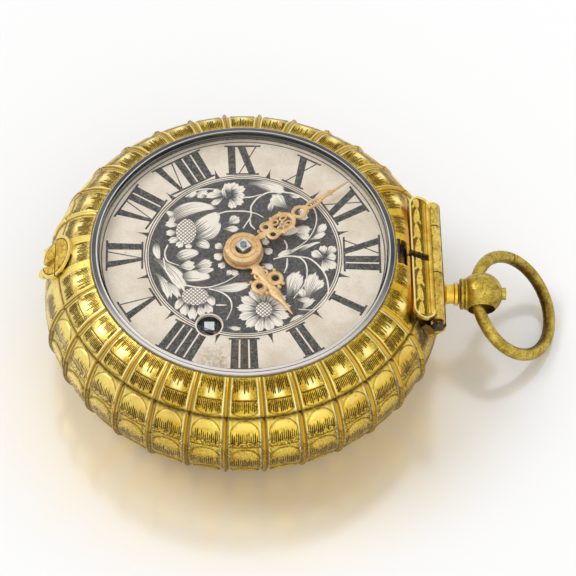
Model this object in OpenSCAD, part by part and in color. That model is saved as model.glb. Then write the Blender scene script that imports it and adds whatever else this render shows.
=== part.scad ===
// Verge pocket watch of about 1690 in a ribbed gilt case.
// Origin: centre of the case back's resting face.
// +X runs to the pendant at XII, -Y to III, +Z out of the dial.

/* [Case] */
// Radius of the case at its widest, between the ribs
case_r = 28.6; // [28.2:0.1:29.2]
// Height of the widest line
equator_z = 11; // [10.4:0.1:11.6]
// How far the split line of back and bezel lies inside the widest line
split_in = 2.3; // [2:0.1:2.6]
// Height of the split line
split_z = 18.5; // [18.3:0.1:18.7]
// Radius of the flat that the case rests on
rest_r = 9.5; // [8:0.5:12]
// Wall of the case back
case_wall = 1; // [0.8:0.1:1.2]
// Width of the shelf that the pillar plate's edge clears
shelf_t = 1.2; // [1:0.1:1.4]
// Divisions round the case, one rib between each two
divisions = 32; // [32]
// Height of a rib over the panels
rib_h = 0.5; // [0.3:0.05:0.6]
// Width of a rib
rib_w = 1.1; // [0.8:0.1:1.4]
// How far each scale stands out at its lower edge
scale_h = 0.22; // [0.1:0.02:0.3]

/* [Bezel and glass] */
// Radius of the bezel's lip
lip_r = 21.75; // [21.6:0.05:21.9]
// Height of the bezel's lip
lip_z = 21.9; // [21.7:0.1:22.2]
// Thickness of the glass
glass_t = 0.9; // [0.7:0.1:1]
// Rise of the glass over the lip
glass_rise = 2.6; // [2.2:0.1:3]

/* [Hinge of the case] */
// How far the hinge line lies inside the widest line
hinge_in = 1.3; // [1.2:0.1:1.4]
// Height of the hinge line
hinge_z = 17.9; // [17.8:0.05:18]
// Radius of the knuckles
knuckle_r = 1.05; // [1:0.05:1.1]
// Radius of the hinge pin
hinge_pin_r = 0.45; // [0.35:0.05:0.5]
// Length of the knuckles together
hinge_len = 20.4; // [19:0.2:21]

/* [Pendant and bow] */
// How far the ball's centre stands outside the widest line
ball_out = 5.8; // [5.4:0.1:6.2]
// Height of the ball
ball_z = 10.3; // [10:0.1:10.6]
// Radius of the ball
ball_r = 3.15; // [3:0.05:3.3]
// Radius of the hole through the ball
ball_hole_r = 1.95; // [1.7:0.05:2.1]
// Radius of the bow's centre line
bow_r = 7.55; // [7.3:0.05:7.8]
// Radius of the bow's wire
bow_wire_r = 0.9; // [0.8:0.05:1]
// Slope of the bow below the level
bow_drop = 40; // [38:1:42]
// Turn of the ball and bow about the pendant
bow_twist = 10.6; // [6:0.1:12]

/* [Dial and hands] */
// Height of the dial's face
dial_z = 20.3; // [20.2:0.1:20.4]
// Radius of the dial
dial_r = 20.6; // [20.4:0.05:20.8]
// Thickness of the dial
dial_t = 0.5; // [0.4:0.05:0.6]
// Distance of the winding hole from the centre
wind_r = 12.9; // [12.8:0.05:13]
// Angle of the winding hole from XII
wind_angle = -112; // [-113:0.5:-111]
// Radius of the winding hole
wind_hole_r = 1.75; // [1.5:0.05:1.85]
// Reach of the minute hand
minute_reach = 20.2; // [19:0.1:20.4]
// Reach of the hour hand
hour_reach = 13.1; // [12:0.1:14]
// Angle of the minute hand from XII
minute_angle = 38.6; // [0:0.1:360]
// Angle of the hour hand from XII
hour_angle = -57.6; // [-360:0.1:0]

/* [Movement] */
// Thickness of the pillar plate
pillar_plate_t = 1.2; // [1:0.1:1.3]
// Height of the pillar plate's inner face
pillar_top_z = 17; // [16.95:0.05:17.05]
// Length of the pillars between the plates
pillar_len = 9; // [8.9:0.05:9.1]
// Radius of the top plate
top_plate_r = 18.8; // [18.6:0.1:19.2]
// Thickness of the top plate
top_plate_t = 1; // [0.9:0.1:1.1]
// Radius of the pillars' circle
pillar_ring_r = 16.9; // [16.8:0.05:17]
// Play between a pivot and its hole
pivot_gap = 0.03; // [0.02:0.01:0.05]
// Outer radius of the barrel
barrel_r = 5.8; // [5.6:0.1:5.9]
// Radius of the fusee at its wide end
fusee_big_r = 5.2; // [5:0.1:5.3]
// Radius of the fusee at its small end
fusee_small_r = 2.9; // [2.7:0.1:3.2]
// Turns of the fusee's groove
fusee_turns = 7; // [7]
// Outer radius of the balance
balance_r = 8; // [7.6:0.1:8.2]
// Turns of the balance spring
spring_turns = 4; // [3:0.5:5]

/* [Gear teeth] */
// Teeth of the great wheel
great_teeth = 54; // [54]
// Teeth of the second wheel
second_teeth = 54; // [54]
// Teeth of the third wheel
third_teeth = 48; // [48]
// Teeth of the contrate wheel
contrate_teeth = 48; // [48]
// Teeth of the crown wheel
crown_teeth = 15; // [15]
// Leaves of the second pinion
second_leaves = 12; // [12]
// Leaves of the other pinions of the train
small_leaves = 6; // [6]

/* [Hidden] */
$fn = 48;
// Places of the movement's centres, seen from the dial
fusee_at = wind_r * [cos(wind_angle), sin(wind_angle)];
barrel_at = 12.4 * [cos(-172), sin(-172)];
great_m = 0.22;
second_m = 0.19;
third_m = 0.17;
contrate_m = 0.155;
motion_m = 0.2;
great_pr = great_m * great_teeth / 2;
second_pinion_pr = great_m * second_leaves / 2;
second_pr = second_m * second_teeth / 2;
third_pinion_pr = second_m * small_leaves / 2;
third_pr = third_m * third_teeth / 2;
contrate_pinion_pr = third_m * small_leaves / 2;
contrate_pr = contrate_m * contrate_teeth / 2;
crown_pinion_pr = contrate_m * small_leaves / 2;
fusee_line = wind_angle + 180;
second_at = fusee_at + (great_pr + second_pinion_pr) * [cos(fusee_line), sin(fusee_line)];
third_line = 20;
third_at = second_at + (second_pr + third_pinion_pr) * [cos(third_line), sin(third_line)];
contrate_line = 30;
contrate_at = third_at + (third_pr + contrate_pinion_pr) * [cos(contrate_line), sin(contrate_line)];
crown_line = -20.9;
crown_span = 8.35;
verge_at = contrate_at - crown_span * [cos(crown_line), sin(crown_line)];
minute_line = 40;
cannon_leaves = 12;
minute_teeth = 36;
minute_leaves = 12;
hour_teeth = 48;
minute_at = motion_m * (cannon_leaves + minute_teeth) / 2 * [cos(minute_line), sin(minute_line)];
hour_m = motion_m * (cannon_leaves + minute_teeth) / (minute_leaves + hour_teeth);
drive_teeth = 28;
drive_m = norm(second_at) / drive_teeth;
drive_line = atan2(second_at[1], second_at[0]);

// Heights of the movement
plate_face_z = pillar_top_z + pillar_plate_t;
top_plate_z = pillar_top_z - pillar_len;
back_face_z = top_plate_z - top_plate_t;
dial_back_z = dial_z - dial_t;
crown_z = top_plate_z + 4;
contrate_tip_z = crown_z + 0.3;
contrate_web_z = crown_z + 0.8;
third_wheel_z = 14.95;
great_z = 15.5;
great_t = 0.7;
second_wheel_z = 16.5;
train_t = 0.3;
balance_z = back_face_z - 1.7;
balance_t = 0.5;
cock_z = back_face_z - 2.7;
cock_t = 0.6;
plate_r = dial_r - 0.2;
pillar_angles = [-142, -52, 38, 128];
foot_angles = [83, 203, 323];
foot_ring_r = 18;
arbor_r = 0.3;
pivot_r = 0.15;
fusee_low_z = 9.4;
fusee_high_z = 15.3;
groove_pitch = (fusee_high_z - fusee_low_z) / fusee_turns;
chain_t = 0.35;
chain_w = 0.6;

// Places on the case
split_r = case_r - split_in;
shoulder_r = case_r - 10;
hinge_x = case_r - hinge_in;
ball_x = case_r + ball_out;
shelf_z = split_z - shelf_t;
shelf_bore_r = dial_r + 0.4;
lift_x = shelf_bore_r + 1.4;
lift_z = shelf_z + 1.3;
lift_r = 0.8;
lift_pin_r = 0.35;
clasp_at = [0.1 - split_r, 1.05, split_z - 0.15];
clasp_tilt = 48;
clasp_r = 3.3;
seat_gap = 0.02;
hinge_play = 0.05;
part_count = 5;
part_len = hinge_len / part_count;
bow_out = bow_r - 1;
ribs_from = 2;
ribs_to = 14;
panel = 360 / divisions;
rib_da = rib_w / 2 / case_r * 180 / PI;

// Colours
gilt = "gold";
old_gilt = "darkgoldenrod";
brass = "goldenrod";
steel = "slategray";
blued = "midnightblue";
silver = "silver";
rose = "peru";

// Outline of an ellipse
function ellipse_pts(a, b, n = 32) = [for (i = [0:n - 1]) [a * cos(i * 360 / n), b * sin(i * 360 / n)]];

// Outline of a toothed wheel: tooth 0 is centred on the first axis
function gear_pts(teeth, m, wide = 0.25, slim = 0.13) = let (
    p = 360 / teeth,
    tip = m * (teeth / 2 + 0.85),
    root = m * (teeth / 2 - 1.15))
    [for (i = [0:teeth - 1], k = [[-wide, root], [-slim, tip], [slim, tip], [wide, root]])
        k[1] * [cos((i + k[0]) * p), sin((i + k[0]) * p)]];

// A crossed-out wheel with its rim, arms and boss
module wheel(teeth, m, t, bore, arms = 4, rim = 0.8, arm_w = 0.7, boss = 1.1) {
    root = m * (teeth / 2 - 1.15);
    linear_extrude(t)
        difference() {
            polygon(gear_pts(teeth, m));
            circle(root - rim);
        }
    linear_extrude(t)
        difference() {
            union() {
                circle(boss);
                for (i = [0:arms - 1])
                    rotate(i * 360 / arms)
                        translate([0, -arm_w / 2])
                            square([root - rim / 2, arm_w]);
            }
            circle(bore);
        }
}

// A pinion's leaves
module pinion(leaves, m, t) {
    linear_extrude(t)
        polygon(gear_pts(leaves, m, 0.2, 0.1));
}

// An upright arbor from low to high with a pivot at each end
module upright_arbor(low, high, r, pivot_low, pivot_high, pr) {
    translate([0, 0, low])
        cylinder(h = high - low, r = r);
    translate([0, 0, low - pivot_low])
        cylinder(h = pivot_low + pivot_high + high - low, r = pr);
}

// Outer profile of the case back at a share t of the way from the split line to the rest
function back_arc(t) = let (
    drop = acos((split_r - shoulder_r) / (case_r - shoulder_r)),
    top_h = (split_z - equator_z) / sin(drop),
    a = drop - t * (drop + 90))
    a >= 0
        ? [shoulder_r + (case_r - shoulder_r) * cos(a), equator_z + top_h * sin(a)]
        : [rest_r + (case_r - rest_r) * cos(a), equator_z * (1 + sin(a))];

// Outer profile of the bezel from the lip to the split line
function bezel_arc(t) = let (bulge = 0.45 * sin(180 * t))
    [lip_r + (split_r - lip_r) * t + bulge * 0.6, lip_z + (split_z - lip_z) * t + bulge];

// Angles round the case: foot, crest and foot of each rib, and the middle of the panel after it
angles = [for (k = [0:divisions - 1], d = [-rib_da, 0, rib_da, panel / 2]) (k + 0.5) * panel + d];
function from_pendant(a) = abs(a > 180 ? a - 360 : a);
function rib_here(i) = let (k = round(from_pendant(angles[i]) / panel - 0.5))
    i % 4 == 1 && k >= ribs_from && k <= ribs_to ? 1 : 0;
function scaled_here(i) = let (a = from_pendant(angles[i]))
    a > (ribs_from + 0.5) * panel && a < (ribs_to + 0.5) * panel ? 1 : 0;
// How far a point stands out of the profile: ribs stay level, and each scale swells to its lower edge
function relief(i, s, fade) =
    fade * (rib_here(i) * rib_h + (1 - rib_here(i)) * scaled_here(i) * s * scale_h);

// Closed ribbed form from rings of [radius, height, swell, fade], highest ring first
module ribbed(rings) {
    n = len(angles);
    m = len(rings);
    pts = concat(
        [for (g = rings, i = [0:n - 1])
            concat((g[0] + relief(i, g[2], g[3])) * [cos(angles[i]), sin(angles[i])], g[1])],
        [[0, 0, rings[0][1]], [0, 0, rings[m - 1][1]]]);
    skin = [for (j = [0:m - 2], i = [0:n - 1]) let (k = (i + 1) % n)
        each [[j * n + i, j * n + k, (j + 1) * n + k], [j * n + i, (j + 1) * n + k, (j + 1) * n + i]]];
    top = [for (i = [0:n - 1]) [m * n, (i + 1) % n, i]];
    bottom = [for (i = [0:n - 1]) [m * n + 1, (m - 1) * n + i, (m - 1) * n + (i + 1) % n]];
    polyhedron(points = pts, faces = concat(skin, top, bottom), convexity = 6);
}

// Steps down one row of scales: its share, and how far the scale has swollen there
scale_steps = [[0.02, 0], [0.55, 0.5], [0.96, 1]];

module case_outer() {
    rows = [0, 0.19, 0.38, 0.58, 0.8];
    ends = concat(rows, [1]);
    body = [for (k = [0:len(rows) - 1], s = scale_steps) let (
        t = ends[k] + (ends[k + 1] - ends[k]) * (k == 0 && s[0] < 0.1 ? 0 : s[0]),
        p = back_arc(t))
        [p[0], p[1], s[1], min(1, (p[0] - rest_r) / 8)]];
    ribbed(concat(body, [[rest_r, 0, 0, 0]]));
}

// Space inside the case: the bowl, and the bore that the movement drops into
module case_space() {
    steps = 14;
    bowl = [for (i = [0:steps]) let (
        p = back_arc(0.13 + 0.87 * i / steps),
        rise = case_wall * (p[0] < case_r - 2 ? 0.8 : 0.2))
        [max(0, p[0] - case_wall), max(case_wall, p[1] + rise)]];
    low = [for (p = bowl) if (p[1] < shelf_z - 0.2) p];
    rotate_extrude($fn = 96)
        polygon(concat([[0, shelf_z], [low[0][0], shelf_z]], low, [[0, case_wall]]));
    translate([0, 0, shelf_z - 1])
        cylinder(h = shelf_t + 2, r = shelf_bore_r);
}

// A cylinder along Y, centred on the middle plane
module across(r, len, at) {
    translate([at[0], at[1] + len / 2, at[2]])
        rotate([90, 0, 0])
            cylinder(h = len, r = r);
}

module case_back() {
    color(gilt)
        difference() {
            union() {
                case_outer();
                hinge_block();
            }
            case_space();
            across(knuckle_r + 0.12, hinge_len + 0.6, [hinge_x, 0, hinge_z]);
            translate([hinge_x - 0.35, -hinge_len / 2 - 0.3, hinge_z])
                cube([3, hinge_len + 0.6, 3]);
            lift_notch();
            along_x(case_r - 8)
                cylinder(h = 12, r = neck_root_r + 0.03);
            clasp_frame() {
                stud_tenon(0);
                translate([stud_block[0] - seat_gap, stud_block[1] - seat_gap, stud_low - seat_gap])
                    cube([stud_size[0] + 2 * seat_gap, stud_size[1] + 2 * seat_gap, 4]);
            }
        }
}

// The raised seat of the hinge on the case back
module hinge_block() {
    back = hinge_x - 2.9;
    side = [[back, split_z - 0.35], [hinge_x + 0.9, split_z - 0.35], [hinge_x + 1.1, hinge_z - 1.2],
        [hinge_x + 0.9, hinge_z - 2.6], [hinge_x - 0.4, hinge_z - 4.4], [back, hinge_z - 4.4]];
    intersection() {
        translate([0, hinge_len / 2 + 0.3, 0])
            rotate([90, 0, 0])
                linear_extrude(hinge_len + 0.6)
                    polygon(side);
        translate([0, 0, 10])
            difference() {
                cylinder(h = 10, r = hinge_x + 3.1);
                translate([0, 0, -1])
                    cylinder(h = 12, r = split_r - 1.1);
            }
    }
}

// Knuckle k of the case hinge, counted from III
knuckle_len = part_len - 2 * hinge_play;
function knuckle_from(k) = -hinge_len / 2 + k * part_len + hinge_play;
module knuckle(k) {
    difference() {
        across(knuckle_r, knuckle_len, [hinge_x, knuckle_from(k) + knuckle_len / 2, hinge_z]);
        across(hinge_pin_r + pivot_gap, hinge_len + 2, [hinge_x, 0, hinge_z]);
    }
}

foot_w = 0.6;
module case_hinge() {
    color(gilt)
        for (k = [0, 2, 4]) {
            knuckle(k);
            translate([hinge_x - foot_w / 2, knuckle_from(k), hinge_z - knuckle_r - 0.08])
                cube([foot_w, knuckle_len, 0.25]);
        }
}

module case_hinge_pin() {
    color(steel) {
        across(hinge_pin_r, hinge_len + 0.5, [hinge_x, 0, hinge_z]);
        across(hinge_pin_r + 0.25, 0.5, [hinge_x, -hinge_len / 2 - 0.45, hinge_z]);
    }
}

// Hinge that the movement swings out on: a steel block let into the shelf at XII
lift_half = 2.1;
lift_lug_half = 0.85;
module lift_notch() {
    translate([shelf_bore_r - 0.5, -lift_half - seat_gap, shelf_z - 1])
        cube([3.1, 2 * (lift_half + seat_gap), shelf_t + 2]);
}

module lift_block() {
    color(steel)
        difference() {
            union() {
                translate([shelf_bore_r + 0.1, -lift_half, shelf_z])
                    cube([2.45, 2 * lift_half, 0.75]);
                across(lift_r, 2 * lift_half, [lift_x, 0, lift_z]);
            }
            translate([shelf_bore_r - 2, -lift_lug_half - hinge_play, shelf_z - 1])
                cube([4.4, 2 * (lift_lug_half + hinge_play), 4]);
            across(lift_pin_r + pivot_gap, 10, [lift_x, 0, lift_z]);
        }
}

module lift_pin() {
    color(steel)
        across(lift_pin_r, 2 * lift_half, [lift_x, 0, lift_z]);
}

// Frame of the catch: first axis up the bezel, third axis out of the case
module clasp_frame() {
    translate(clasp_at)
        rotate([0, -clasp_tilt, 0])
            children();
}

// The stud's root in the case wall
module stud_tenon(less) {
    translate([-2.6, 0.2, -2.4])
        cube([2.2 - less, 2.3 - less, 2.4]);
}

stud_block = [-2.75, 0.05];
stud_size = [2.5, 2.6];
stud_low = -0.25;
module clasp_stud() {
    color(gilt)
        clasp_frame()
            difference() {
                union() {
                    translate([0.01, 0.01, 0])
                        stud_tenon(0.02);
                    translate([stud_block[0], stud_block[1], stud_low])
                        cube([stud_size[0], stud_size[1], 0.85]);
                }
                translate([-3.2, -1, 0.6])
                    rotate([0, -18, 0])
                        cube([2.4, 5, 2]);
            }
}

// Half moon of the catch, seated in a pocket of the bezel
module half_moon(r, low, high, from) {
    translate([0, 0, low])
        linear_extrude(high - low)
            intersection() {
                circle(r);
                translate([from, -10])
                    square([10, 20]);
            }
}

// The hook turns on a rivet in a slot of the half moon's lower corner
hook_pivot = [0.85, -2.1];
hook_low = 0.14;
hook_t = 0.6;
eye_t = 0.3;
rivet_r = 0.32;
moon_flat = 0.12;
module clasp_plate() {
    color(gilt)
        difference() {
            clasp_frame() {
                difference() {
                    half_moon(clasp_r, -0.9, 0.75, moon_flat);
                    translate([-1, -10, hook_low - seat_gap])
                        cube([10, 9, eye_t + 2 * seat_gap]);
                }
                translate([hook_pivot[0], hook_pivot[1], 0])
                    cylinder(h = 0.9, r = rivet_r);
            }
            translate([-40, -10, 0])
                cube([20, 20, split_z + 0.03]);
        }
}

module clasp_hook() {
    color(gilt)
        clasp_frame()
            difference() {
                union() {
                    translate([0, 0, hook_low])
                        linear_extrude(hook_t)
                            difference() {
                                union() {
                                    intersection() {
                                        circle(clasp_r);
                                        translate([-10 - moon_flat, -10])
                                            square([10, 9.35]);
                                    }
                                    translate([-2.95, -1.35])
                                        circle(0.75);
                                }
                                translate([-0.9, 0.9])
                                    circle(2);
                            }
                    translate([0, 0, hook_low])
                        linear_extrude(eye_t)
                            union() {
                                translate(hook_pivot)
                                    circle(0.8);
                                translate([-0.6, hook_pivot[1] - 0.7])
                                    square([hook_pivot[0] + 0.6, 1.2]);
                            }
                }
                translate([hook_pivot[0], hook_pivot[1], 0])
                    cylinder(h = 2, r = rivet_r + pivot_gap);
            }
}

// Turned neck in the case wall, and the ball that swivels in it
module along_x(x) {
    translate([x, 0, ball_z])
        rotate([0, 90, 0])
            children();
}

neck_x = case_r + 0.03;
neck_root_r = 1.22;
neck_bore_r = 0.78;
module pendant_neck() {
    end = ball_x - ball_r - 0.12 - neck_x;
    outline = [[neck_bore_r, -2.2], [neck_root_r, -2.2], [neck_root_r, 0],
        [2.15, 0], [2.15, 0.35], [1.5, 0.7], [1.4, 1.1],
        [1.4, end - 0.75], [1.7, end - 0.6], [1.7, end - 0.2], [1.5, end], [neck_bore_r, end]];
    color(old_gilt)
        along_x(neck_x)
            rotate_extrude()
                polygon(outline);
}

module pendant_ball() {
    shank = neck_bore_r - pivot_gap;
    head_x = neck_x - 2.2 - 0.65;
    color(old_gilt)
        translate([0, 0, ball_z])
            rotate([bow_twist, 0, 0])
                translate([0, 0, -ball_z])
                    difference() {
                        union() {
                            translate([ball_x, 0, ball_z])
                                sphere(r = ball_r);
                            along_x(head_x)
                                cylinder(h = ball_x - ball_r - head_x + 0.5, r = shank);
                            along_x(head_x)
                                cylinder(h = 0.6, r = 1.1);
                            along_x(ball_x + ball_r - 0.3)
                                cylinder(h = 0.75, r = 0.9);
                        }
                        across(ball_hole_r, 10, [ball_x, 0, ball_z]);
                    }
}

module bow_ring() {
    color(old_gilt)
        translate([ball_x, 0, ball_z])
            rotate([bow_twist, 0, 0])
                rotate([0, bow_drop, 0])
                    translate([bow_out, 0, 0])
                        rotate_extrude($fn = 64)
                            translate([bow_r, 0])
                                circle(bow_wire_r);
}

// Bezel, its glass and what is fixed to it
bezel_bore_r = 22;
lip_bore_r = 21.55;
seat_z = 21.15;
glass_r = bezel_bore_r - 0.06;
ring_t = 0.55;
glass_edge_t = 0.6;
plate_tilt = 12;
plate_at = [hinge_x - 2, 0, hinge_z + 1.25];
plate_w = 3.3;
plate_straight = hinge_len - 2.6;

module bezel() {
    rows = [0, 0.6];
    ends = concat(rows, [1]);
    rings = [for (k = [0:1], s = [[0, 0], [0.5, 0.5], [0.9, 1]]) let (
        p = bezel_arc(ends[k] + (ends[k + 1] - ends[k]) * s[0] + (k > 0 && s[0] == 0 ? 0.02 : 0)))
        [p[0], p[1], s[1], k == 0 && s[0] == 0 ? 0.25 : 1]];
    color(gilt)
        difference() {
            ribbed(concat(rings, [[split_r, split_z + 0.03, 0, 1]]));
            translate([0, 0, split_z - 1])
                cylinder(h = seat_z - split_z + 1, r = bezel_bore_r);
            translate([0, 0, split_z])
                cylinder(h = 10, r = lip_bore_r);
            hinge_cover(seat_gap, 6);
            across(knuckle_r + 0.12, hinge_len + 0.8, [hinge_x, 0, hinge_z]);
            translate([lip_r + 0.35, -2.3, split_z - 1])
                cube([1.15, 4.6, 6]);
            translate([lip_bore_r - 1, -2.3, split_z - 1])
                cube([3.05, 4.6, 2.25]);
            clasp_frame()
                half_moon(clasp_r + seat_gap, -0.92, 3, -1);
        }
}

// The engraved cover over the hinge, grown by a gap and carried up to cut its own seat
module hinge_cover(gap, rise) {
    translate(plate_at)
        rotate([0, plate_tilt, 0])
            translate([0, 0, -gap])
                linear_extrude(0.6 + rise)
                    union() {
                        square([plate_w + 2 * gap, plate_straight], center = true);
                        for (s = [-1, 1])
                            translate([0, s * plate_straight / 2])
                                circle(plate_w / 2 + gap);
                    }
}

module hinge_plate() {
    color(gilt) {
        difference() {
            hinge_cover(0, 0);
            translate([hinge_x - 4.8, -0.45, hinge_z + 0.4])
                cube([4.1, 0.9, 3]);
            across(knuckle_r + 0.05, hinge_len + 2, [hinge_x, 0, hinge_z]);
        }
        for (k = [1, 3]) {
            knuckle(k);
            difference() {
                translate([hinge_x - 1, knuckle_from(k), hinge_z + 0.6])
                    cube([1, knuckle_len, 0.45]);
                across(0.9, hinge_len, [hinge_x, 0, hinge_z]);
            }
        }
    }
}

module glass() {
    outer_r = lip_bore_r - 0.06;
    dome = glass_rise - 0.3;
    big = (outer_r * outer_r + dome * dome) / (2 * dome);
    half = asin(outer_r / big);
    steps = 10;
    bevel_a = 0.6;
    top = [for (i = [0:steps]) let (a = half * (1 - i / steps))
        [big * sin(a), lip_z + 0.3 + dome - big + big * cos(a)]];
    inner = [for (i = [0:steps]) let (a = (half - bevel_a) * i / steps)
        [(big - glass_t) * sin(a), lip_z + 0.3 + dome - big + (big - glass_t) * cos(a)]];
    color("lightcyan", 0.4)
        rotate_extrude($fn = 96)
            polygon(concat(
                [[glass_r, seat_z - glass_edge_t], [glass_r, seat_z - 0.04], [outer_r, seat_z - 0.04]],
                top, inner, [[outer_r - 0.9, seat_z - glass_edge_t]]));
}

module glass_ring() {
    high = seat_z - glass_edge_t - 0.03;
    color(silver)
        difference() {
            rotate_extrude($fn = 96)
                polygon([[21.15, high - ring_t], [21.6, high - ring_t], [glass_r, high], [21.15, high]]);
            translate([lip_bore_r - 2, -2.3, 0])
                cube([4, 4.6, 30]);
        }
}

// Dial, edge and feet
module dial() {
    color(silver)
        translate([0, 0, dial_back_z])
            difference() {
                cylinder(h = dial_t, r = dial_r, $fn = 96);
                translate([0, 0, -1])
                    cylinder(h = 3, r = 1.5);
                translate([fusee_at[0], fusee_at[1], -1])
                    cylinder(h = 3, r = wind_hole_r);
                translate([0, 0, dial_t - 0.08])
                    rotate_extrude($fn = 96)
                        translate([20.03, 0])
                            square([0.12, 1]);
            }
}

module dial_feet() {
    color("peru")
        for (a = foot_angles)
            rotate(a)
                translate([foot_ring_r, 0, 0]) {
                    translate([0, 0, pillar_top_z - 1.2])
                        difference() {
                            cylinder(h = dial_back_z - pillar_top_z + 1.2, r = 0.6);
                            translate([0, 0, 0.7])
                                rotate([90, 0, 0])
                                    cylinder(h = 4, r = 0.18, center = true);
                        }
                    translate([0, 0, pillar_top_z - 0.5])
                        rotate([90, 0, 0])
                            cylinder(h = 2.6, r = 0.17, center = true);
                }
}

module dial_edge() {
    color(brass)
        translate([0, 0, plate_face_z])
            difference() {
                cylinder(h = dial_back_z - plate_face_z, r = plate_r, $fn = 96);
                translate([0, 0, -1])
                    cylinder(h = 5, r = plate_r - 1.2, $fn = 96);
            }
}

// Plates and pillars
module pillar_plate() {
    color(brass)
        difference() {
            union() {
                translate([0, 0, pillar_top_z])
                    cylinder(h = pillar_plate_t, r = plate_r, $fn = 96);
                translate([20, -lift_lug_half, pillar_top_z + 0.3])
                    cube([lift_x - 20, 2 * lift_lug_half, 0.8]);
                across(lift_r, 2 * lift_lug_half, [lift_x, 0, lift_z]);
            }
            across(lift_pin_r + pivot_gap, 10, [lift_x, 0, lift_z]);
            for (a = pillar_angles)
                rotate(a)
                    translate([pillar_ring_r, 0, 0])
                        cylinder(h = 30, r = 0.9);
            for (a = foot_angles)
                rotate(a)
                    translate([foot_ring_r, 0, 0])
                        cylinder(h = 30, r = 0.62);
            translate([fusee_at[0], fusee_at[1], 0])
                cylinder(h = 30, r = 0.9 + pivot_gap);
            translate([second_at[0], second_at[1], 0])
                cylinder(h = 30, r = 0.4 + pivot_gap);
            translate([barrel_at[0], barrel_at[1], 0])
                cylinder(h = 30, r = 0.7 + pivot_gap);
            for (p = [third_at, contrate_at])
                translate([p[0], p[1], 0])
                    cylinder(h = 30, r = pivot_r + pivot_gap);
            for (p = [[0, 0], minute_at])
                translate([p[0], p[1], 0])
                    cylinder(h = 30, r = 0.5);
        }
}

module pillars() {
    side = [[0, -1.9], [0.68, -1.9], [0.68, 0], [1.35, 0], [1.35, 0.5], [0.8, 0.9], [0.65, 1.3],
        [1.1, 2.6], [1.35, 4], [1.25, 5.2], [0.7, 6.4], [0.6, 7], [1, 7.5], [0.75, 8],
        [1.5, 8.5], [1.5, pillar_len - 0.02], [0.88, pillar_len - 0.02],
        [0.88, pillar_len + pillar_plate_t], [0, pillar_len + pillar_plate_t]];
    color(brass)
        for (a = pillar_angles)
            rotate(a)
                translate([pillar_ring_r, 0, top_plate_z + 0.01])
                    difference() {
                        rotate_extrude()
                            polygon(side);
                        translate([0, 0, -top_plate_t - 0.25])
                            rotate([90, 0, 0])
                                cylinder(h = 4, r = 0.21, center = true);
                    }
}

module pillar_pins() {
    color(steel)
        for (a = pillar_angles)
            rotate(a)
                translate([pillar_ring_r, 0, back_face_z - 0.24])
                    rotate([90, 0, 0])
                        cylinder(h = 3.4, r1 = 0.16, r2 = 0.2, center = true);
}

module top_plate() {
    color(brass)
        difference() {
            translate([0, 0, back_face_z])
                cylinder(h = top_plate_t, r = top_plate_r, $fn = 96);
            for (a = pillar_angles)
                rotate(a)
                    translate([pillar_ring_r, 0, 0])
                        cylinder(h = 30, r = 0.7);
            translate([fusee_at[0], fusee_at[1], 0])
                cylinder(h = 30, r = 0.5 + pivot_gap);
            translate([barrel_at[0], barrel_at[1], 0])
                cylinder(h = 30, r = 0.7 + pivot_gap);
            for (p = [second_at, third_at, contrate_at])
                translate([p[0], p[1], 0])
                    cylinder(h = 30, r = pivot_r + pivot_gap);
            translate([verge_at[0], verge_at[1], 0])
                cylinder(h = 30, r = 1.2);
            translate([regulator_at[0], regulator_at[1], 0])
                cylinder(h = 30, r = 0.4 + pivot_gap);
        }
}

// Bolt at VI, stored drawn back so that the movement can swing out
module movement_bolt() {
    color(steel)
        translate([-plate_r + 0.05, 0, pillar_top_z]) {
            translate([0, -0.9, -0.55])
                cube([2.1, 1.8, 0.5]);
            translate([1.3, -0.9, -1.1])
                cube([0.8, 1.8, 0.6]);
        }
}

// Mainspring barrel
barrel_low_z = top_plate_z + 0.9;
barrel_high_z = pillar_top_z - 0.8;
barrel_wall = 0.4;
barrel_arbor_r = 0.7;
module at_barrel(z) {
    translate([barrel_at[0], barrel_at[1], z])
        children();
}

module barrel() {
    color(brass)
        at_barrel(barrel_low_z)
            difference() {
                cylinder(h = barrel_high_z - barrel_low_z, r = barrel_r);
                translate([0, 0, -1])
                    cylinder(h = barrel_high_z - barrel_low_z + 0.4, r = barrel_r - barrel_wall);
                cylinder(h = 20, r = barrel_arbor_r + pivot_gap);
            }
}

module barrel_cover() {
    color(brass)
        at_barrel(barrel_low_z + 0.05)
            difference() {
                cylinder(h = 0.5, r = barrel_r - barrel_wall - seat_gap);
                translate([0, 0, -1])
                    cylinder(h = 3, r = barrel_arbor_r + pivot_gap);
                translate([3.6, 0, -1])
                    cylinder(h = 3, r = 0.5);
            }
}

module barrel_arbor() {
    color(steel)
        at_barrel(0) {
            translate([0, 0, back_face_z])
                cylinder(h = plate_face_z - back_face_z + 0.05, r = barrel_arbor_r);
            translate([0, 0, barrel_low_z + 0.6])
                cylinder(h = barrel_high_z - barrel_low_z - 1.3, r = 1.6);
            translate([-0.5, -0.5, plate_face_z])
                cube([1, 1, 0.6]);
        }
}

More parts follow.
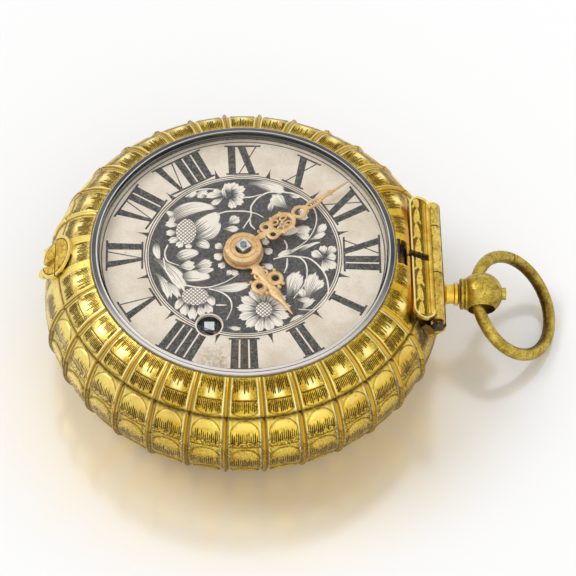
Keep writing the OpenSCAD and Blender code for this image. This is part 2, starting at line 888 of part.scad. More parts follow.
// Coiled strip: from radius a to radius b in so many turns
module strip(a, b, turns, low, high, thick, per_turn) {
    n = round(turns * per_turn);
    pts = [for (i = [0:n]) let (r = a + (b - a) * i / n, w = i * 360 * turns / n)
        each [[(r - thick / 2) * cos(w), (r - thick / 2) * sin(w), low],
            [(r + thick / 2) * cos(w), (r + thick / 2) * sin(w), low],
            [(r + thick / 2) * cos(w), (r + thick / 2) * sin(w), high],
            [(r - thick / 2) * cos(w), (r - thick / 2) * sin(w), high]]];
    sides = [for (i = [0:n - 1], k = [0:3]) let (q = (k + 1) % 4, p = 4 * i)
        each [[p + k, p + 4 + q, p + 4 + k], [p + k, p + q, p + 4 + q]]];
    polyhedron(points = pts, faces = concat([[0, 2, 1], [0, 3, 2]], sides,
        [[4 * n, 4 * n + 1, 4 * n + 2], [4 * n, 4 * n + 2, 4 * n + 3]]), convexity = 8);
}

module mainspring() {
    color(blued)
        at_barrel(0)
            strip(1.75, barrel_r - barrel_wall - 0.15, 7,
                barrel_low_z + 0.75, barrel_high_z - 0.75, 0.18, 20);
}

setup_teeth = 18;
module setup_ratchet() {
    color(steel)
        at_barrel(plate_face_z + 0.08)
            linear_extrude(0.45)
                difference() {
                    polygon([for (i = [0:setup_teeth - 1], k = [[0, 2.1], [0.92, 2.6]])
                        k[1] * [cos((i + k[0]) * 360 / setup_teeth), sin((i + k[0]) * 360 / setup_teeth)]]);
                    square(1.04, center = true);
                }
}

module setup_click() {
    color(steel)
        at_barrel(plate_face_z + 0.02)
            rotate(70)
                translate([0, -3.9, 0])
                    difference() {
                        union() {
                            linear_extrude(0.45)
                                union() {
                                    circle(0.75);
                                    polygon([[0, 0.7], [-0.3, -0.7], [2.1, 0.35], [2.3, 1.0], [1.9, 1.15]]);
                                }
                            cylinder(h = 0.75, r = 0.45);
                        }
                        translate([-1, -0.08, 0.6])
                            cube([2, 0.16, 1]);
                    }
}

// Fusee: radius of the cone at a height, and depth of the groove at a phase
function cone_r(z) = let (s = (z - fusee_low_z) / (fusee_high_z - fusee_low_z))
    fusee_small_r + (fusee_big_r - fusee_small_r) * (0.62 * s + 0.38 * s * s);
groove_depth = 0.3;
function groove_z(a) = fusee_high_z - groove_pitch * (0.5 + a / 360);
function in_groove(z, a) = let (q = (groove_z(a) - z) / groove_pitch, f = q - floor(q))
    f > 0.25 && f < 0.75 ? 0 : 1;

module fusee_cone() {
    n = 28;
    m = fusee_turns * 4;
    pts = concat(
        [for (j = [0:m], i = [0:n - 1]) let (
            z = fusee_low_z + (fusee_high_z - fusee_low_z) * j / m,
            a = i * 360 / n,
            r = cone_r(z) - (j == 0 || j == m ? 0 : in_groove(z + 0.01, a) * groove_depth))
            [r * cos(a), r * sin(a), z]],
        [[0, 0, fusee_low_z], [0, 0, fusee_high_z]]);
    skin = [for (j = [0:m - 1], i = [0:n - 1]) let (k = (i + 1) % n)
        each [[j * n + i, (j + 1) * n + k, j * n + k], [j * n + i, (j + 1) * n + i, (j + 1) * n + k]]];
    low = [for (i = [0:n - 1]) [(m + 1) * n, i, (i + 1) % n]];
    high = [for (i = [0:n - 1]) [(m + 1) * n + 1, m * n + (i + 1) % n, m * n + i]];
    color(brass)
        translate([fusee_at[0], fusee_at[1], 0]) {
            difference() {
                polyhedron(points = pts, faces = concat(skin, low, high), convexity = 10);
                cylinder(h = 30, r = fusee_arbor_r + seat_gap);
            }
            translate([0, 0, fusee_low_z - 0.7])
                linear_extrude(0.4)
                    difference() {
                        union() {
                            circle(3.1);
                            rotate(200)
                                polygon([[0, -3], [4, -0.5], [4.2, 0.4], [2.9, 1.5], [0, 3]]);
                        }
                        circle(fusee_arbor_r + seat_gap);
                    }
            translate([0, 0, fusee_low_z - 0.35])
                linear_extrude(0.4)
                    difference() {
                        circle(2);
                        circle(fusee_arbor_r + seat_gap);
                    }
        }
}

fusee_arbor_r = 0.75;
wind_square = 1.4;
module fusee_arbor() {
    color(steel)
        translate([fusee_at[0], fusee_at[1], 0]) {
            translate([0, 0, back_face_z + 0.2])
                cylinder(h = 10, r = 0.5);
            translate([0, 0, top_plate_z + 0.05])
                cylinder(h = pillar_top_z - top_plate_z - 0.1, r = fusee_arbor_r);
            translate([0, 0, great_z + great_t + 0.04])
                cylinder(h = pillar_top_z - great_z - great_t - 0.1, r = 1.3);
            translate([0, 0, pillar_top_z - 0.1])
                cylinder(h = pillar_plate_t + 0.15, r = 0.9);
            translate([-wind_square / 2, -wind_square / 2, plate_face_z])
                cube([wind_square, wind_square, dial_z - 0.2 - plate_face_z]);
        }
}

module great_wheel() {
    color(brass)
        translate([fusee_at[0], fusee_at[1], great_z])
            rotate(fusee_line)
                wheel(great_teeth, great_m, great_t, fusee_arbor_r + pivot_gap, 4, 1.1, 0.9, 3.2);
}

// Chain from the fusee's groove across to the barrel, as one band of links
chain_seat = 0.36;
function chain_seat_r(z) = cone_r(z) - groove_depth + chain_seat;
module chain() {
    rb = barrel_r + 0.05;
    gap_v = barrel_at - fusee_at;
    turns = 3;
    z_off = groove_z(360 * turns + 28);
    rf = chain_seat_r(z_off);
    leave = atan2(gap_v[1], gap_v[0]) - acos((rf - rb) / norm(gap_v));
    last = 360 * turns + leave;
    on_fusee = [for (a = [last - 360 * turns + 40:15:last - 1])
        [fusee_at[0], fusee_at[1], chain_seat_r(groove_z(a)), a, groove_z(a)]];
    z_run = groove_z(last);
    run = [[fusee_at[0], fusee_at[1], chain_seat_r(z_run), leave, z_run]];
    on_barrel = [for (a = [0:15:540]) [barrel_at[0], barrel_at[1], rb, leave + a, z_run - 0.75 * a / 360]];
    path = concat(on_fusee, run, on_barrel);
    n = len(path) - 1;
    pts = [for (p = path, c = [[0, -0.5], [1, -0.5], [1, 0.5], [0, 0.5]]) let (r = p[2] + c[0] * chain_t)
        [p[0] + r * cos(p[3]), p[1] + r * sin(p[3]), p[4] + c[1] * chain_w * 0.6]];
    sides = [for (i = [0:n - 1], k = [0:3]) let (q = (k + 1) % 4, p = 4 * i)
        each [[p + k, p + 4 + q, p + 4 + k], [p + k, p + q, p + 4 + q]]];
    color(steel)
        polyhedron(points = pts, faces = concat([[0, 2, 1], [0, 3, 2]], sides,
            [[4 * n, 4 * n + 1, 4 * n + 2], [4 * n, 4 * n + 2, 4 * n + 3]]), convexity = 10);
}

// Stop work: the arm and its spring, on the top plate
stop_at = fusee_at + [6.4, 2.4];
stop_turn = 170;
module stop_arm() {
    color(steel)
        translate([stop_at[0], stop_at[1], top_plate_z + 0.25])
            rotate(stop_turn)
                difference() {
                    union() {
                        translate([0, -0.35, -0.12])
                            cube([3.1, 0.7, 0.3]);
                        rotate([90, 0, 0])
                            translate([0, 0.05, -0.5])
                                cylinder(h = 1, r = 0.22);
                    }
                    rotate([90, 0, 0])
                        translate([0, 0.05, -1])
                            cylinder(h = 2, r = 0.12);
                }
}

module stop_spring() {
    color(steel)
        translate([stop_at[0], stop_at[1], top_plate_z])
            rotate(stop_turn) {
                for (s = [-1, 1])
                    translate([-0.35, s * 0.75 - 0.2, 0.01])
                        cube([0.7, 0.4, 0.6]);
                translate([0, 0.95, 0.3])
                    rotate([90, 0, 0])
                        cylinder(h = 1.9, r = 0.09);
                translate([-2.6, -0.95, 0.01])
                    cube([2.3, 0.4, 0.25]);
            }
}

// Wheels of the train
module at_xy(p, z = 0) {
    translate([p[0], p[1], z])
        children();
}

module second_wheel() {
    color(brass)
        at_xy(second_at, second_wheel_z)
            rotate(third_line)
                wheel(second_teeth, second_m, train_t, 0.42);
}

module second_arbor() {
    color(steel)
        at_xy(second_at) {
            upright_arbor(top_plate_z + 0.05, pillar_top_z - 0.05, 0.3, 0.9, 0, pivot_r);
            translate([0, 0, great_z])
                cylinder(h = plate_face_z + 0.45 - great_z, r = 0.4);
            translate([0, 0, great_z - 0.1])
                rotate(fusee_line + 180 + 180 / second_leaves)
                    pinion(second_leaves, great_m, 0.9);
        }
}

module third_wheel() {
    color(brass)
        at_xy(third_at, third_wheel_z)
            rotate(contrate_line)
                wheel(third_teeth, third_m, 0.25, arbor_r + seat_gap);
}

module third_arbor() {
    color(steel)
        at_xy(third_at) {
            upright_arbor(top_plate_z + 0.05, pillar_top_z - 0.05, arbor_r, 0.8, 0.8, pivot_r);
            translate([0, 0, second_wheel_z - 0.2])
                rotate(third_line + 180 + 180 / small_leaves)
                    pinion(small_leaves, second_m, 0.65);
        }
}

// Ring with teeth standing along its axis, tips at height 0.
// A tooth runs from share a to share b of its pitch.
module face_wheel(teeth, pr, half, depth, web, bore, a, b) {
    step = 360 / teeth;
    edge = 0.02;
    linear_extrude(depth + 0.05)
        polygon(
            [for (i = [0:teeth - 1], k = [[a, -1], [b, -1], [b, 1], [a, 1]])
                (pr + k[1] * (half - edge)) * [cos((i + k[0]) * step), sin((i + k[0]) * step)]],
            [for (i = [0:teeth - 1]) [for (k = [0:3]) 4 * i + k]]);
    translate([0, 0, depth])
        linear_extrude(web)
            difference() {
                circle(pr + half);
                circle(pr - half);
            }
    translate([0, 0, depth])
        linear_extrude(web)
            difference() {
                union() {
                    circle(0.9);
                    for (i = [0:3])
                        rotate(i * 90)
                            translate([0, -0.3])
                                square([pr, 0.6]);
                }
                circle(bore);
            }
}

module contrate_wheel() {
    color(brass)
        at_xy(contrate_at, contrate_tip_z)
            rotate(crown_line + 180)
                face_wheel(contrate_teeth, contrate_pr, 0.25, contrate_web_z - contrate_tip_z, 0.4,
                    arbor_r + seat_gap, -0.16, 0.16);
}

module contrate_arbor() {
    color(steel)
        at_xy(contrate_at) {
            upright_arbor(top_plate_z + 0.05, pillar_top_z - 0.05, arbor_r, 0.8, 0.8, pivot_r);
            translate([0, 0, third_wheel_z - 0.3])
                rotate(contrate_line + 180 + 180 / small_leaves)
                    pinion(small_leaves, third_m, 0.8);
        }
}

// Frame of the crown wheel: third axis from the verge towards the contrate wheel
module crown_frame() {
    at_xy(verge_at, crown_z)
        rotate(crown_line)
            rotate([0, 90, 0])
                children();
}

crown_r = 2.45;
crown_tip = 1.15;
crown_depth = 0.85;
crown_web = 0.45;
// The crown wheel's teeth lean, cut back at one flank by a wedge
module crown_wheel() {
    pitch = 2 * PI * crown_r / crown_teeth;
    lean = [[-pitch * 0.14, -0.1], [pitch * 0.4, -0.1], [pitch * 0.4, crown_depth]];
    color(brass)
        crown_frame()
            translate([0, 0, crown_tip])
                difference() {
                    face_wheel(crown_teeth, crown_r, 0.22, crown_depth, crown_web, 0.27, -0.1, 0.36);
                    for (i = [0:crown_teeth - 1])
                        rotate((i + 0.13) * 360 / crown_teeth)
                            rotate([90, 0, 90])
                                linear_extrude(crown_r + 1)
                                    polygon(lean);
                }
}

crown_pinion_u = crown_span - contrate_pr;
counter_u = 5.75;
module crown_arbor() {
    color(steel)
        crown_frame() {
            translate([0, 0, 1.95])
                cylinder(h = counter_u - 0.05 - 1.95, r = 0.25);
            translate([0, 0, 1.3])
                cylinder(h = counter_u + 0.6 - 1.3, r = 0.12);
            translate([0, 0, crown_pinion_u - 0.45])
                rotate(180 / small_leaves)
                    pinion(small_leaves, contrate_m, 0.9);
        }
}

// Brackets of the crown wheel and the verge, standing on the top plate
module verge_frame() {
    at_xy(verge_at)
        rotate(crown_line)
            children();
}

potence_top_z = crown_z + 3.7;
module potence() {
    color(brass)
        verge_frame()
            difference() {
                union() {
                    translate([-3.4, -1.2, top_plate_z])
                        cube([1.4, 2.4, potence_top_z - top_plate_z]);
                    translate([-3.4, -0.7, potence_top_z - 0.7])
                        cube([4.1, 1.4, 0.7]);
                    translate([-2.2, 0.62, crown_z - 0.55])
                        cube([4.1, 0.73, 1.1]);
                    translate([1.05, -0.45, crown_z - 0.5])
                        cube([0.8, 1.4, 1]);
                }
                cylinder(h = 30, r = pivot_r + 0.02);
                translate([0, 0, crown_z])
                    rotate([0, 90, 0])
                        cylinder(h = 5, r = 0.15);
            }
}

module counter_potence() {
    color(brass)
        verge_frame()
            difference() {
                union() {
                    translate([counter_u, -0.8, top_plate_z])
                        cube([0.8, 1.6, crown_z + 0.5 - top_plate_z]);
                    translate([counter_u - 0.2, -1.7, top_plate_z])
                        cube([1.2, 3.4, 0.6]);
                }
                translate([0, 0, crown_z])
                    rotate([0, 90, 0])
                        cylinder(h = 10, r = 0.15);
            }
}

// Balance and what belongs to it
pallet_reach = 1;
module verge_staff() {
    color(steel)
        verge_frame() {
            translate([0, 0, cock_z + cock_t + 0.05])
                cylinder(h = potence_top_z - 0.75 - cock_z - cock_t - 0.05, r = 0.32);
            translate([0, 0, cock_z + 0.1])
                cylinder(h = potence_top_z - 0.2 - cock_z - 0.1, r = pivot_r - 0.02);
            translate([0, 0, balance_z + balance_t])
                cylinder(h = 0.7, r = 0.7);
            for (s = [-1, 1])
                rotate(s * 50)
                    translate([0, -0.1, crown_z + s * crown_r - 0.4])
                        cube([pallet_reach, 0.2, 0.8]);
        }
}

module balance_wheel() {
    arm_end = balance_r - 0.4;
    color(brass)
        at_xy(verge_at, balance_z)
            linear_extrude(balance_t)
                difference() {
                    union() {
                        difference() {
                            circle(balance_r, $fn = 72);
                            circle(balance_r - 0.75, $fn = 72);
                        }
                        for (i = [0:2])
                            rotate(i * 120 + 20)
                                polygon([[0, -0.75], [arm_end, -0.32], [arm_end, 0.32], [0, 0.75]]);
                        circle(1.3);
                    }
                    circle(0.32 + seat_gap);
                }
}

spring_r = 3.6;
spring_z = balance_z + balance_t + 0.42;
module balance_spring() {
    color(blued)
        at_xy(verge_at)
            rotate(stud_angle)
                strip(spring_r, 0.78, spring_turns, spring_z, spring_z + 0.22, 0.1, 24);
}

stud_angle = 200;
module spring_stud() {
    color(steel)
        at_xy(verge_at)
            rotate(stud_angle)
                difference() {
                    translate([spring_r - 0.35, -0.75, spring_z - 0.1])
                        cube([1, 0.7, back_face_z - spring_z + 0.1]);
                    translate([spring_r - 0.09, -2, spring_z - 0.5])
                        cube([0.18, 4, 0.8]);
                }
}

cock_line = -80;
module balance_cock() {
    table_r = 7.2;
    neck_to = 9.6;
    color(brass)
        difference() {
            union() {
                at_xy(verge_at, cock_z)
                    linear_extrude(cock_t)
                        difference() {
                            union() {
                                circle(table_r, $fn = 72);
                                rotate(cock_line)
                                    polygon([[5.5, -1.6], [neck_to, -1.8], [neck_to, 1.8], [5.5, 1.6]]);
                            }
                            for (i = [0:9])
                                rotate(i * 36 + cock_line) {
                                    rotate(18)
                                        translate([5.1, 0])
                                            polygon(ellipse_pts(1.25, 0.8, 20));
                                    translate([3.1, 0])
                                        polygon(ellipse_pts(0.75, 0.42, 16));
                                }
                        }
                translate([0, 0, cock_z + 0.05])
                    linear_extrude(back_face_z - cock_z - 0.05)
                        intersection() {
                            circle(top_plate_r - 0.8, $fn = 96);
                            at_xy(verge_at)
                                rotate(cock_line)
                                    polygon([[8.9, -2.2], [20, -5.2], [20, 5.2], [8.9, 2.2]]);
                        }
            }
            at_xy(verge_at)
                cylinder(h = 20, r = pivot_r + 0.02);
            at_xy(screw_at)
                cylinder(h = 20, r = 0.62);
            at_xy(screw_at, cock_z - 1)
                cylinder(h = 1.6, r = 1.25);
        }
}

screw_at = verge_at + 12.4 * [cos(cock_line), sin(cock_line)];
module cock_screw() {
    color(blued)
        at_xy(screw_at)
            difference() {
                union() {
                    translate([0, 0, cock_z - 0.1])
                        cylinder(h = 0.68, r = 1.15);
                    translate([0, 0, cock_z])
                        cylinder(h = back_face_z - cock_z, r = 0.58);
                }
                translate([-2, -0.14, cock_z - 1])
                    cube([4, 0.28, 1.15]);
            }
}

// Regulator: a figure disc whose pinion drives a toothed arc with the curb pins
rack_m = 0.25;
rack_teeth = 76;
disc_leaves = 14;
regulator_line = 75;
rack_z = back_face_z - 0.4;
regulator_span = rack_m * (rack_teeth + disc_leaves) / 2;
regulator_at = verge_at + regulator_span * [cos(regulator_line), sin(regulator_line)];
module regulator_disc() {
    color(silver)
        at_xy(regulator_at) {
            translate([0, 0, rack_z - 0.65])
                difference() {
                    cylinder(h = 0.5, r = 3);
                    translate([-0.45, -0.45, -1])
                        cube([0.9, 0.9, 1.3]);
                }
            translate([0, 0, rack_z - 0.2])
                cylinder(h = 0.3, r = 1.2);
            translate([0, 0, rack_z])
                rotate(regulator_line + 180 + 180 / disc_leaves)
                    pinion(disc_leaves, rack_m, 0.35);
            translate([0, 0, rack_z])
                cylinder(h = top_plate_t + 0.1, r = 0.4);
        }
}

module regulator_rack() {
    reach = rack_m * rack_teeth / 2;
    color(steel)
        at_xy(verge_at)
            rotate(regulator_line) {
                translate([0, 0, rack_z])
                    linear_extrude(0.35)
                        intersection() {
                            difference() {
                                polygon(gear_pts(rack_teeth, rack_m));
                                circle(reach - 1.2, $fn = 72);
                            }
                            polygon([[0, 0], [12, -6.5], [12, 6.5]]);
                        }
                translate([spring_r - 0.5, -0.4, rack_z])
                    cube([reach - 1.1 - spring_r + 0.5, 0.8, 0.35]);
                for (s = [-1, 1])
                    translate([spring_r + s * 0.28 - (s < 0 ? 0.05 : 0), 0, spring_z + 0.05])
                        cylinder(h = rack_z - spring_z, r = 0.09);
            }
}

// Motion work under the dial
hand_z = dial_z + 0.35;
hour_hand_t = 0.38;
minute_hand_z = hand_z + 0.46;
post_r = 0.45;
module motion_posts() {
    color(steel) {
        translate([0, 0, pillar_top_z])
            cylinder(h = dial_z + 2.75 - pillar_top_z, r = post_r);
        translate([0, 0, pillar_top_z])
            cylinder(h = pillar_plate_t, r = 0.48);
        at_xy(minute_at, pillar_top_z) {
            cylinder(h = pillar_plate_t, r = 0.48);
            cylinder(h = pillar_plate_t + 1.35, r = 0.3);
        }
    }
}

pipe_r = 0.78;
hour_pipe_r = 1.25;
motion_z = plate_face_z + 0.06;
module cannon_pinion() {
    color(steel)
        difference() {
            union() {
                translate([0, 0, motion_z])
                    rotate(drive_line + 180 / drive_teeth)
                        linear_extrude(0.33)
                            polygon(gear_pts(drive_teeth, drive_m));
                translate([0, 0, motion_z])
                    rotate(minute_line)
                        pinion(cannon_leaves, motion_m, 0.78);
                translate([0, 0, motion_z])
                    cylinder(h = minute_hand_z - motion_z, r = pipe_r);
                translate([0, 0, minute_hand_z - 0.04])
                    rotate(minute_angle)
                        translate([-0.8, -0.8, 0])
                            cube([1.6, 1.6, 1.65]);
            }
            cylinder(h = 40, r = post_r + 0.04);
        }
}

module drive_wheel() {
    color(brass)
        at_xy(second_at, motion_z)
            rotate(drive_line + 180)
                linear_extrude(0.33)
                    difference() {
                        polygon(gear_pts(drive_teeth, drive_m));
                        circle(0.43);
                    }
}

module minute_wheel() {
    color(brass)
        at_xy(minute_at)
            difference() {
                union() {
                    translate([0, 0, motion_z + 0.42])
                        rotate(minute_line + 180 + 180 / minute_teeth)
                            linear_extrude(0.26)
                                polygon(gear_pts(minute_teeth, motion_m));
                    translate([0, 0, motion_z + 0.6])
                        rotate(minute_line + 180)
                            pinion(minute_leaves, hour_m, 0.62);
                }
                cylinder(h = 40, r = 0.33);
            }
}

module hour_wheel() {
    color(brass)
        difference() {
            union() {
                translate([0, 0, motion_z + 0.84])
                    rotate(minute_line + 180 / hour_teeth)
                        linear_extrude(0.3)
                            polygon(gear_pts(hour_teeth, hour_m));
                translate([0, 0, motion_z + 0.84])
                    cylinder(h = hand_z + hour_hand_t - motion_z - 0.84, r = hour_pipe_r);
            }
            cylinder(h = 40, r = pipe_r + 0.05);
        }
}

// A closed loop of the openwork
module loop2d(x, y, a, b, ia, ib) {
    translate([x, y])
        difference() {
            polygon(ellipse_pts(a, b));
            polygon(ellipse_pts(ia, ib));
        }
}

module hour_hand() {
    spear = 9;
    color(rose)
        translate([0, 0, hand_z])
            rotate(hour_angle)
                linear_extrude(hour_hand_t)
                    difference() {
                        union() {
                            circle(2.85);
                            translate([2.5, -0.6])
                                square([1.3, 1.2]);
                            translate([4, 0])
                                circle(0.85);
                            for (s = [-1, 1]) {
                                loop2d(5.6, s * 1, 1.15, 0.95, 0.62, 0.5);
                                loop2d(7, s * 0.55, 0.75, 0.6, 0.35, 0.25);
                                translate([6.2, s * 2.05])
                                    circle(0.42);
                            }
                            translate([4, -0.4])
                                square([4.2, 0.8]);
                            translate([8.6, 0])
                                polygon(ellipse_pts(0.85, 0.75, 24));
                            polygon([[spear, -0.5], [spear + 1.2, -0.75], [hour_reach - 0.3, -0.14],
                                [hour_reach, 0], [hour_reach - 0.3, 0.14], [spear + 1.2, 0.75], [spear, 0.5]]);
                        }
                        circle(hour_pipe_r + 0.02);
                    }
}

module minute_hand() {
    spear = 13.4;
    color(rose)
        translate([0, 0, minute_hand_z])
            rotate(minute_angle)
                difference() {
                    union() {
                        translate([0, 0, 0.25])
                            cylinder(h = 0.6, r = 2.45);
                        linear_extrude(0.3)
                            union() {
                                circle(2.6);
                                translate([2.3, -0.55])
                                    square([1.9, 1.1]);
                                for (s = [-1, 1])
                                    loop2d(4.5, s * 0.8, 0.95, 0.85, 0.5, 0.42);
                                loop2d(7, 0, 2.1, 1.45, 1.5, 0.95);
                                translate([5.2, -0.28])
                                    square([3.8, 0.56]);
                                loop2d(9.9, 0, 1.2, 0.95, 0.75, 0.5);
                                loop2d(12.2, 0, 1.5, 0.55, 1, 0.25);
                                translate([spear + 0.4, -0.5])
                                    square([0.5, 1]);
                                polygon([[spear, -0.34], [minute_reach - 0.2, -0.12], [minute_reach, 0],
                                    [minute_reach - 0.2, 0.12], [spear, 0.34]]);
                            }
                    }
                    translate([-0.82, -0.82, -1])
                        cube([1.64, 1.64, 4]);
                }
}

case_back();
case_hinge();
case_hinge_pin();
lift_block();
lift_pin();
clasp_stud();
pendant_neck();
pendant_ball();
bow_ring();
bezel();
glass();
glass_ring();
hinge_plate();
clasp_plate();
clasp_hook();
dial();
dial_feet();
dial_edge();
pillar_plate();
pillars();
pillar_pins();
top_plate();
movement_bolt();
barrel();
barrel_cover();
barrel_arbor();
mainspring();
setup_ratchet();
setup_click();
chain();
fusee_cone();
fusee_arbor();
great_wheel();
stop_arm();
stop_spring();
second_wheel();
second_arbor();
third_wheel();
third_arbor();
contrate_wheel();
contrate_arbor();
crown_wheel();
crown_arbor();
potence();
counter_potence();
verge_staff();
balance_wheel();
balance_spring();
spring_stud();
balance_cock();
cock_screw();
regulator_disc();
regulator_rack();
motion_posts();
cannon_pinion();
drive_wheel();
minute_wheel();
hour_wheel();
hour_hand();
minute_hand();
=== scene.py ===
# A verge pocket watch lying on its back on a white table, dressed over its CAD frame.
import math
import random

import bmesh
import bpy
import numpy as np
from mathutils import Matrix, Vector


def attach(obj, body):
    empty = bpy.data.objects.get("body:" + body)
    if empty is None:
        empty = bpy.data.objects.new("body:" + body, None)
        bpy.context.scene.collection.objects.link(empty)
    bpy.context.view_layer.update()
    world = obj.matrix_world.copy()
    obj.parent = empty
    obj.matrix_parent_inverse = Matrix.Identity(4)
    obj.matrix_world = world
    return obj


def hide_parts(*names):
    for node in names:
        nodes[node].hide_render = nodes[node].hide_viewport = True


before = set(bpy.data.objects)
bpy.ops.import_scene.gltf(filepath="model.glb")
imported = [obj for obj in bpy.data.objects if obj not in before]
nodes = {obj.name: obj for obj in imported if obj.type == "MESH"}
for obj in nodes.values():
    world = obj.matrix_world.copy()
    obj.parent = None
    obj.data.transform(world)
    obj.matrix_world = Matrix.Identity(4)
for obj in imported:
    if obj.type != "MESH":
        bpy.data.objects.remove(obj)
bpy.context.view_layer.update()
mm = 0.001


def connect(tree, place, value):  # links a socket, or sets it to a plain value
    if isinstance(value, Wire):
        tree.links.new(value.socket, place)
    else:
        place.default_value = value


def operator(operation, turned=False):
    def work(self, other):
        return self.calc(operation, *((other, self) if turned else (self, other)))
    return work


# Shader maths: one socket, so that masks and mixes read as plain arithmetic
class Wire:
    def __init__(self, tree, socket):
        self.tree, self.socket = tree, socket

    def calc(self, operation, *values, clamp=False):
        node = self.tree.nodes.new("ShaderNodeMath")
        node.operation, node.use_clamp = operation, clamp
        for place, value in zip(node.inputs, values):
            connect(self.tree, place, value)
        return Wire(self.tree, node.outputs[0])

    __add__, __radd__ = operator("ADD"), operator("ADD", True)
    __sub__, __rsub__ = operator("SUBTRACT"), operator("SUBTRACT", True)
    __mul__, __rmul__ = operator("MULTIPLY"), operator("MULTIPLY", True)
    __truediv__, __pow__ = operator("DIVIDE"), operator("POWER")
    __gt__, __lt__ = operator("GREATER_THAN"), operator("LESS_THAN")
    larger, smaller = operator("MAXIMUM"), operator("MINIMUM")

    def size(self):
        return self.calc("ABSOLUTE", self)

    def part(self):  # what is left after the whole number
        return self.calc("FRACT", self)

    def whole(self):
        return self.calc("FLOOR", self)

    def ramp(self, low, high):  # 0 below low, 1 above high, straight between
        return self.calc("MULTIPLY", self - low, 1 / (high - low), clamp=True)

    def band(self, low, full, last, gone):  # 1 from full to last, 0 outside low and gone
        return self.ramp(low, full) * (1 - self.ramp(last, gone))


class Finish:
    def __init__(self, name, slotName, **fixed):
        self.material = bpy.data.materials.new(name)
        self.material.use_nodes = True
        self.slotName = slotName
        self.tree = self.material.node_tree
        self.tree.nodes.clear()
        self.out = self.tree.nodes.new("ShaderNodeOutputMaterial")
        self.body = self.tree.nodes.new("ShaderNodeBsdfPrincipled")
        self.tree.links.new(self.body.outputs[0], self.out.inputs[0])
        self.feed(**fixed)

    def feed(self, **values):  # sockets of the shader, with _ for a space
        for key, value in values.items():
            connect(self.tree, self.body.inputs[key.replace("_", " ")], value)

    def node(self, kind, sockets=None, result=0, **settings):
        node = self.tree.nodes.new("ShaderNode" + kind)
        for key, value in settings.items():
            setattr(node, key, value)
        for key, value in (sockets or {}).items():
            connect(self.tree, node.inputs[key], value)
        return Wire(self.tree, node.outputs[result])

    def vector(self, operation, *values, result=0):
        return self.node("VectorMath", dict(enumerate(values)), result, operation=operation)

    def place(self):  # the piece's own coordinates in millimetres
        return self.vector("MULTIPLY", self.node("TexCoord", result=3), (1000, 1000, 1000))

    def split(self, vector=None):
        node = self.node("SeparateXYZ", {0: vector or self.place()}).socket.node
        return [Wire(self.tree, socket) for socket in node.outputs]

    def noise(self, scale, detail=3, rough=0.6, stretch=(1, 1, 1)):
        spot = self.vector("MULTIPLY", self.place(), stretch)
        return self.node("TexNoise", {"Vector": spot, "Scale": scale, "Detail": detail, "Roughness": rough})

    def chance(self, seed):
        return self.node("TexWhiteNoise", {"W": seed}, noise_dimensions="1D")

    def values(self, *names):  # values kept on the mesh's points
        return [self.node("Attribute", result=2, attribute_name=name) for name in names]

    def blend(self, amount, first, second):
        return self.node("Mix", {0: amount, 6: first, 7: second}, 2, data_type="RGBA")

    def start(self, amount, first, second):  # the colour that the next ones are laid over
        self.colour = self.blend(amount, first, second)

    def over(self, amount, tone):
        self.colour = self.blend(amount, self.colour, tone)

    def bump(self, height, strength, distance):
        return self.node("Bump", {"Height": height, "Strength": strength, "Distance": distance * mm})

    def done(self, **values):
        self.feed(Base_Color=self.colour, **values)
        return self


def rgb(red, green, blue):  # a colour as a screen shows it, 0 to 255
    def linear(v):
        v /= 255
        return v / 12.92 if v <= 0.04045 else ((v + 0.055) / 1.055) ** 2.4
    return (linear(red), linear(green), linear(blue), 1)


def look(colour, second, dirtAndShadeColour, rough, **more):
    return {"colour": rgb(*colour), "second": rgb(*second), "dirtAndShadeColour": rgb(*dirtAndShadeColour), "rough": rough,
            "cloud": 0.35, "grain": 3, "brush": (1, 1, 1), "dirt": 0.4, "dirtFrom": 0.55, "bump": 0.35,
            "metallic": 1, **more}


# General metal: patches of wear over the colour, dirt that gathers in noise, fine scratches, then any stains and
# painted shade given
def metal(name, slotName, tone, stainsAndShade=None):
    finish = Finish(name, slotName, Metallic=tone["metallic"])
    cloud, fine = finish.noise(tone["cloud"], 4), finish.noise(tone["grain"], 4, 0.65)
    lines = finish.noise(1.6, 3, 0.6, tone["brush"])
    finish.start(cloud.ramp(0.38, 0.66), tone["colour"], tone["second"])
    dirt = (fine * 0.6 + lines * 0.4).ramp(tone["dirtFrom"], tone["dirtFrom"] + 0.14)
    finish.over(dirt * tone["dirt"], tone["dirtAndShadeColour"])
    if stainsAndShade:
        # stains and painted shade that the caller gives, in the dirt and shade colour
        finish.over(stainsAndShade(finish), tone["dirtAndShadeColour"])
    return finish.done(Roughness=tone["rough"] + 0.2 * dirt + 0.1 * (cloud - 0.5),
                       Normal=finish.bump(lines * 0.6 + fine * 0.4, tone["bump"], 0.06))


def dress(finish, *names):
    for name in names:
        for slot in nodes[name].material_slots:
            slot.material = finish.material


# Meshes, all in millimetres until they are made
def meshPiece(name, points, faces, finish, body, smooth=True, replaces=()):
    mesh = bpy.data.meshes.new(name)
    mesh.from_pydata([(x * mm, y * mm, z * mm) for x, y, z in points], [], [tuple(f) for f in faces])
    mesh.polygons.foreach_set("use_smooth", [smooth] * len(mesh.polygons))
    mesh.update()
    piece = bpy.data.objects.new(name, mesh)
    bpy.context.scene.collection.objects.link(piece)
    mesh.materials.append(finish.material)
    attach(piece, body)
    if replaces:
        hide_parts(*replaces)
    return piece


def keepValues(piece, values):  # lists with one value for each point
    for name, kept in values.items():
        made = piece.data.attributes.new(name, "FLOAT", "POINT")
        made.data.foreach_set("value", np.ravel(kept).astype(np.float32))


def wrap(rows, columns, closedRows=False, flip=False):  # faces of a grid whose columns close on themselves
    j, i = np.meshgrid(np.arange(rows if closedRows else rows - 1), np.arange(columns), indexing="ij")
    k, n = (i + 1) % columns, (j + 1) % rows
    faces = np.stack([j * columns + i, n * columns + i, n * columns + k, j * columns + k], -1).reshape(-1, 4)
    return faces[:, [0, 3, 2, 1]] if flip else faces


